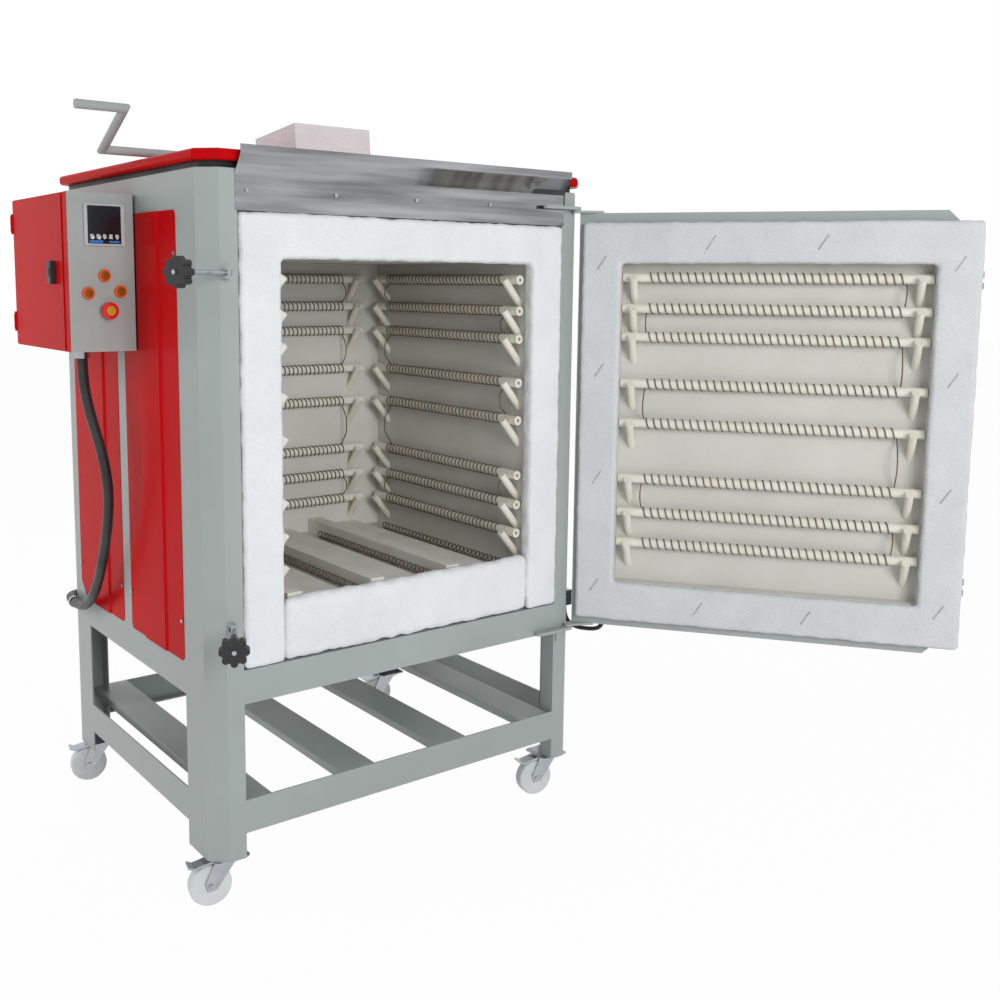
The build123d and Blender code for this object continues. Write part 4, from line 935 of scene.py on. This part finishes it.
@dataclass
class ControlFace:
    """Glass, bars, key marks, lamp faces and the stop button's badge on the control box's front."""

    front: float = -90.0
    bezel: float = 5.0
    controller: tuple[float, float] = (-631.0, 1578.0)
    glass_half_width: float = 41.0
    glass_half_height: float = 45.0
    glass_depth: float = 0.4
    mark_depth: float = 0.3
    bar_drop: float = 39.0
    bars: tuple[Bar, ...] = (Bar(-35.0, -4.0, 6.0), Bar(11.0, 36.0, 4.0))
    key_drop: float = 29.0
    keys: tuple[KeyMark, ...] = (
        KeyMark(-28.5, 4.6, 20),
        KeyMark(-13.0, 4.6, 20),
        KeyMark(1.0, 5.2, 3, 90.0),
        KeyMark(15.5, 5.2, 3),
        KeyMark(30.5, 5.2, 3, 180.0),
    )
    lamps: tuple[tuple[float, float], ...] = ((-633.5, 1460.0), (-673.0, 1419.0), (-596.0, 1423.0))
    lamp_radius: float = 9.8
    lamp_depth: float = 1.2
    lamp_sides: int = 40
    stop: tuple[float, float] = (-626.5, 1378.0)
    stop_radius: float = 11.0
    stop_depth: float = 1.5
    proud: float = 0.5

    def build(self, shop: Paintshop) -> None:
        """Builds and dresses the small pieces of the control box's front.

        Args:
            shop: Where finishes come from.
        """
        self._screen(shop)
        self._keys(shop)
        self._buttons(shop)
        LOG.info("control face made")

    def _screen(self, shop: Paintshop) -> None:
        """Builds the controller's glass and the bars on it.

        Args:
            shop: Where finishes come from.
        """
        x, z = self.controller
        face = self.front - self.bezel
        glass_front = face - self.glass_depth
        wide, tall = self.glass_half_width, self.glass_half_height
        glass = add_block("controller_glass", (x - wide, glass_front, z - tall), (x + wide, face, z + tall))
        self._finish(glass, shop, Finish.SCREEN, Finish.BLACK_PLASTIC, 0.2)
        middle = z - self.bar_drop
        for i, bar in enumerate(self.bars):
            low = (x + bar.left, glass_front - self.mark_depth, middle - bar.tall / 2)
            high = (x + bar.right, glass_front, middle + bar.tall / 2)
            piece = add_block(f"controller_bar_{i}", low, high)
            self._finish(piece, shop, Finish.SCREEN_BLUE, Finish.BLACK_PLASTIC, 0.1)

    def _keys(self, shop: Paintshop) -> None:
        """Builds the marks of the membrane keys.

        Args:
            shop: Where finishes come from.
        """
        x, z = self.controller
        front = self.front - self.bezel - self.glass_depth - self.mark_depth
        for i, key in enumerate(self.keys):
            at = (x + key.across, front, z - self.key_drop)
            mark = add_disc(f"key_mark_{i}", at, key.radius, self.mark_depth, key.sides)
            spin = Matrix.Rotation(math.radians(key.turn), 4, "Y")
            mark.data.transform(Matrix.Translation(place(at)) @ spin @ Matrix.Translation(-place(at)))
            self._finish(mark, shop, Finish.SCREEN_WHITE, Finish.BLACK_PLASTIC)

    def _buttons(self, shop: Paintshop) -> None:
        """Builds the lamps' faces and the stop button's badge.

        Args:
            shop: Where finishes come from.
        """
        front = self._front_of("pilot_lamps") - self.proud
        size = (self.lamp_radius, self.lamp_depth, self.lamp_sides)
        for i, (x, z) in enumerate(self.lamps):
            lens = add_disc(f"lamp_face_{i}", (x, front, z), *size)
            self._finish(lens, shop, Finish.AMBER_LENS, Finish.ORANGE_LENS)
        x, z = self.stop
        front = self._front_of("stop_button") - self.proud
        badge = add_disc("stop_badge", (x, front, z), self.stop_radius, self.stop_depth)
        self._finish(badge, shop, Finish.YELLOW_PLASTIC, Finish.RED_PLASTIC, body=Body.STOP)

    @staticmethod
    def _front_of(node: str) -> float:
        """Returns the least Y that a node reaches, in the casing's frame."""
        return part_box(node)[0][1] * 1000 + ORIGIN.y

    @staticmethod
    def _finish(
        piece: bpy.types.Object,
        shop: Paintshop,
        finish: Finish,
        slot: Finish,
        bevel: float = 0.0,
        body: Body = Body.FRAME,
    ) -> None:
        """Softens a small piece, dresses it and lets it ride on a body.

        Args:
            piece: The piece.
            shop: Where finishes come from.
            finish: Its finish.
            slot: The finish whose name is the record's material slot; not used.
            bevel: The width of its rounded edges in millimetres, or zero.
            body: The body that it rides on.
        """
        if bevel > 0.0:
            apply_modifier(piece, "BEVEL", width=bevel / 1000, segments=2, limit_method="ANGLE")
        shop.dress(piece, finish)
        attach(piece, body.value)


@dataclass(frozen=True)
class Lead:
    """One cable or conduit along its real route, in the casing's frame."""

    name: str
    node: str
    points: tuple[Point, ...]
    radius: float
    length: float
    stiffness: str

    def build(self, shop: Paintshop) -> None:
        """Args:
            shop: Where finishes come from.
        """
        curve = bpy.data.curves.new(self.name, "CURVE")
        curve.dimensions = "3D"
        curve.bevel_depth = self.radius / 1000
        curve.bevel_resolution = 6
        curve.resolution_u = 14
        curve.use_fill_caps = True
        spline = curve.splines.new("NURBS")
        spline.points.add(len(self.points) - 1)
        for spot, point in zip(spline.points, self.points):
            spot.co = (*place(point), 1.0)
        spline.order_u = 3
        spline.use_endpoint_u = True
        piece = bpy.data.objects.new(self.name, curve)
        bpy.context.collection.objects.link(piece)
        shop.dress(piece, Finish.RUBBER)
        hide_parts(self.node)
        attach(piece, Body.FRAME.value)
        LOG.info("%s laid", self.name)


LEADS = (
    Lead(
        "conduit_run",
        "control_conduit",
        (
            (-650, 34, 1259),
            (-650, 34, 1200),
            (-641, 12, 1116),
            (-626, -19, 1030),
            (-615, -27, 940),
            (-608, 4, 850),
            (-603, 54, 760),
            (-598, 116, 672),
            (-592, 192, 602),
            (-586, 276, 562),
            (-579, 352, 549),
            (-572, 426, 545),
            (-556, 478, 543),
            (-516, 486, 543),
        ),
        radius=13.0,
        length=1072.0,
        stiffness="stiff",
    ),
    Lead(
        "door_cable_run",
        "door_cable",
        (
            (570, -404, 538),
            (570, -404, 501),
            (586, -425.6, 474),
            (609.2, -457.1, 471),
            (627.3, -481.6, 474),
            (635, -492, 487),
            (635, -492, 498),
        ),
        radius=6.0,
        length=170.0,
        stiffness="medium",
    ),
)


@dataclass(frozen=True)
class AreaLight:
    """A soft square light: its place, what it points at and its side in metres, its power in watts."""

    name: str
    at: Point
    aim: Point
    size: float
    power: float

    def add(self) -> None:
        """Adds the light to the scene, unseen in reflections."""
        data = bpy.data.lights.new(self.name, "AREA")
        data.size = self.size
        data.energy = self.power
        light = bpy.data.objects.new(self.name, data)
        bpy.context.collection.objects.link(light)
        way = Vector(self.aim) - Vector(self.at)
        turn = way.to_track_quat("-Z", "Y").to_matrix().to_4x4()
        light.matrix_world = Matrix.Translation(Vector(self.at)) @ turn
        light.visible_glossy = False


@dataclass
class Studio:
    """The pale floor, soft lights, world and the camera at the photograph's view."""

    eye: Point = (-1581.5, -2733.5, 1448.2)
    yaw: float = 36.7
    pitch: float = -7.3
    roll: float = 0.47
    lens: float = 40.62
    shift: tuple[float, float] = (0.0500, -0.0719)
    floor_size: float = 60.0
    floor_colour: tuple[float, float, float, float] = (0.9, 0.9, 0.9, 1.0)
    floor_roughness: float = 0.9
    floor_glow: float = 0.97
    sky_colour: tuple[float, float, float, float] = (0.95, 0.97, 1.0, 1.0)
    sky_strength: float = 0.40
    lights: tuple[AreaLight, ...] = (
        AreaLight("key", (-1.0, -4.9, 2.4), (0.0, 0.0, 0.9), 2.0, 128.0),
        AreaLight("side", (-4.4, 2.6, 2.2), (-0.4, 0.2, 0.9), 2.5, 66.0),
        AreaLight("back", (0.5, 3.6, 3.6), (0.0, 0.0, 1.0), 3.0, 40.0),
    )

    def build(self) -> None:
        """Sets up everything round the object."""
        self._camera()
        self._floor()
        for light in self.lights:
            light.add()
        self._world()
        LOG.info("studio set")

    def _camera(self) -> None:
        """Places the camera."""
        yaw, pitch, roll = (math.radians(angle) for angle in (self.yaw, self.pitch, self.roll))
        flat = math.cos(pitch)
        forward = Vector((math.sin(yaw) * flat, math.cos(yaw) * flat, math.sin(pitch)))
        level = Vector((math.cos(yaw), -math.sin(yaw), 0.0))
        above = level.cross(forward)
        right = math.cos(roll) * level + math.sin(roll) * above
        up = math.cos(roll) * above - math.sin(roll) * level
        data = bpy.data.cameras.new("camera")
        data.sensor_width = 36.0
        data.sensor_fit = "HORIZONTAL"
        data.lens = self.lens
        data.shift_x, data.shift_y = self.shift
        data.clip_end = 100.0
        camera = bpy.data.objects.new("camera", data)
        bpy.context.collection.objects.link(camera)
        turn = Matrix((right, up, -forward)).transposed().to_4x4()
        camera.matrix_world = Matrix.Translation(place(self.eye)) @ turn
        bpy.context.scene.camera = camera

    def _floor(self) -> None:
        """Adds the floor, which shows white to the camera but keeps the shadow."""
        bpy.ops.object.select_all(action="DESELECT")
        bpy.ops.mesh.primitive_plane_add(size=self.floor_size, location=(0.0, 0.0, 0.0))
        floor = bpy.context.object
        floor.name = "floor"
        material = bpy.data.materials.new("floor")
        material.use_nodes = True
        nodes, links = material.node_tree.nodes, material.node_tree.links
        shader = nodes["Principled BSDF"]
        shader.inputs["Base Color"].default_value = self.floor_colour
        shader.inputs["Roughness"].default_value = self.floor_roughness
        glow = nodes.new("ShaderNodeEmission")
        glow.inputs["Color"].default_value = WHITE
        mix = nodes.new("ShaderNodeMixShader")
        share = nodes.new("ShaderNodeMath")
        share.operation = "MULTIPLY"
        share.inputs[1].default_value = self.floor_glow
        links.new(self._seen(material.node_tree), share.inputs[0])
        links.new(share.outputs["Value"], mix.inputs["Fac"])
        links.new(shader.outputs["BSDF"], mix.inputs[1])
        links.new(glow.outputs["Emission"], mix.inputs[2])
        links.new(mix.outputs["Shader"], nodes["Material Output"].inputs["Surface"])
        floor.data.materials.append(material)

    @staticmethod
    def _seen(tree: bpy.types.NodeTree) -> bpy.types.NodeSocket:
        """Adds nodes that tell what the camera and the reflections see from what lights the object.

        Args:
            tree: The tree to add them to.

        Returns:
            A value that is 1 for a camera or glossy ray, else 0.
        """
        path = tree.nodes.new("ShaderNodeLightPath")
        seen = tree.nodes.new("ShaderNodeMath")
        seen.operation = "MAXIMUM"
        tree.links.new(path.outputs["Is Camera Ray"], seen.inputs[0])
        tree.links.new(path.outputs["Is Glossy Ray"], seen.inputs[1])
        return seen.outputs["Value"]

    def _world(self) -> None:
        """Sets a white world for the camera and for reflections, and a plain pale light for the rest."""
        world = bpy.data.worlds.new("studio")
        bpy.context.scene.world = world
        world.use_nodes = True
        nodes, links = world.node_tree.nodes, world.node_tree.links
        sky = nodes["Background"]
        sky.inputs["Color"].default_value = self.sky_colour
        sky.inputs["Strength"].default_value = self.sky_strength
        white = nodes.new("ShaderNodeBackground")
        white.inputs["Color"].default_value = WHITE
        white.inputs["Strength"].default_value = 1.0
        mix = nodes.new("ShaderNodeMixShader")
        links.new(self._seen(world.node_tree), mix.inputs["Fac"])
        links.new(sky.outputs["Background"], mix.inputs[1])
        links.new(white.outputs["Background"], mix.inputs[2])
        links.new(mix.outputs["Shader"], nodes["World Output"].inputs["Surface"])


def dress_nodes(nodes: dict[str, bpy.types.Object], shop: Paintshop) -> None:
    """Gives every kept CAD node its finish.

    Args:
        nodes: The CAD nodes by name.
        shop: Where finishes come from.
    """
    for name, finish in NODE_FINISH.items():
        shop.dress_node(nodes[name], finish)
    for name, node in nodes.items():
        if name.startswith("wheel_"):
            shop.dress_node(node, Finish.NYLON)
        elif name.startswith(("fork_", "pedal_")):
            shop.dress_node(node, Finish.ZINC)


def main() -> None:
    """Builds the whole scene in order."""
    logging.basicConfig(level=logging.INFO, format="%(message)s")
    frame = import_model()
    shop = Paintshop()
    Studio().build()
    for lead in LEADS:
        lead.build(shop)
    dress_nodes(frame["nodes"], shop)
    Mouth().build(shop)
    Chamber().build(shop)
    Door().build(shop)
    ControlFace().build(shop)
    bpy.context.scene.view_settings.view_transform = "Standard"


if __name__ == "__main__":
    main()
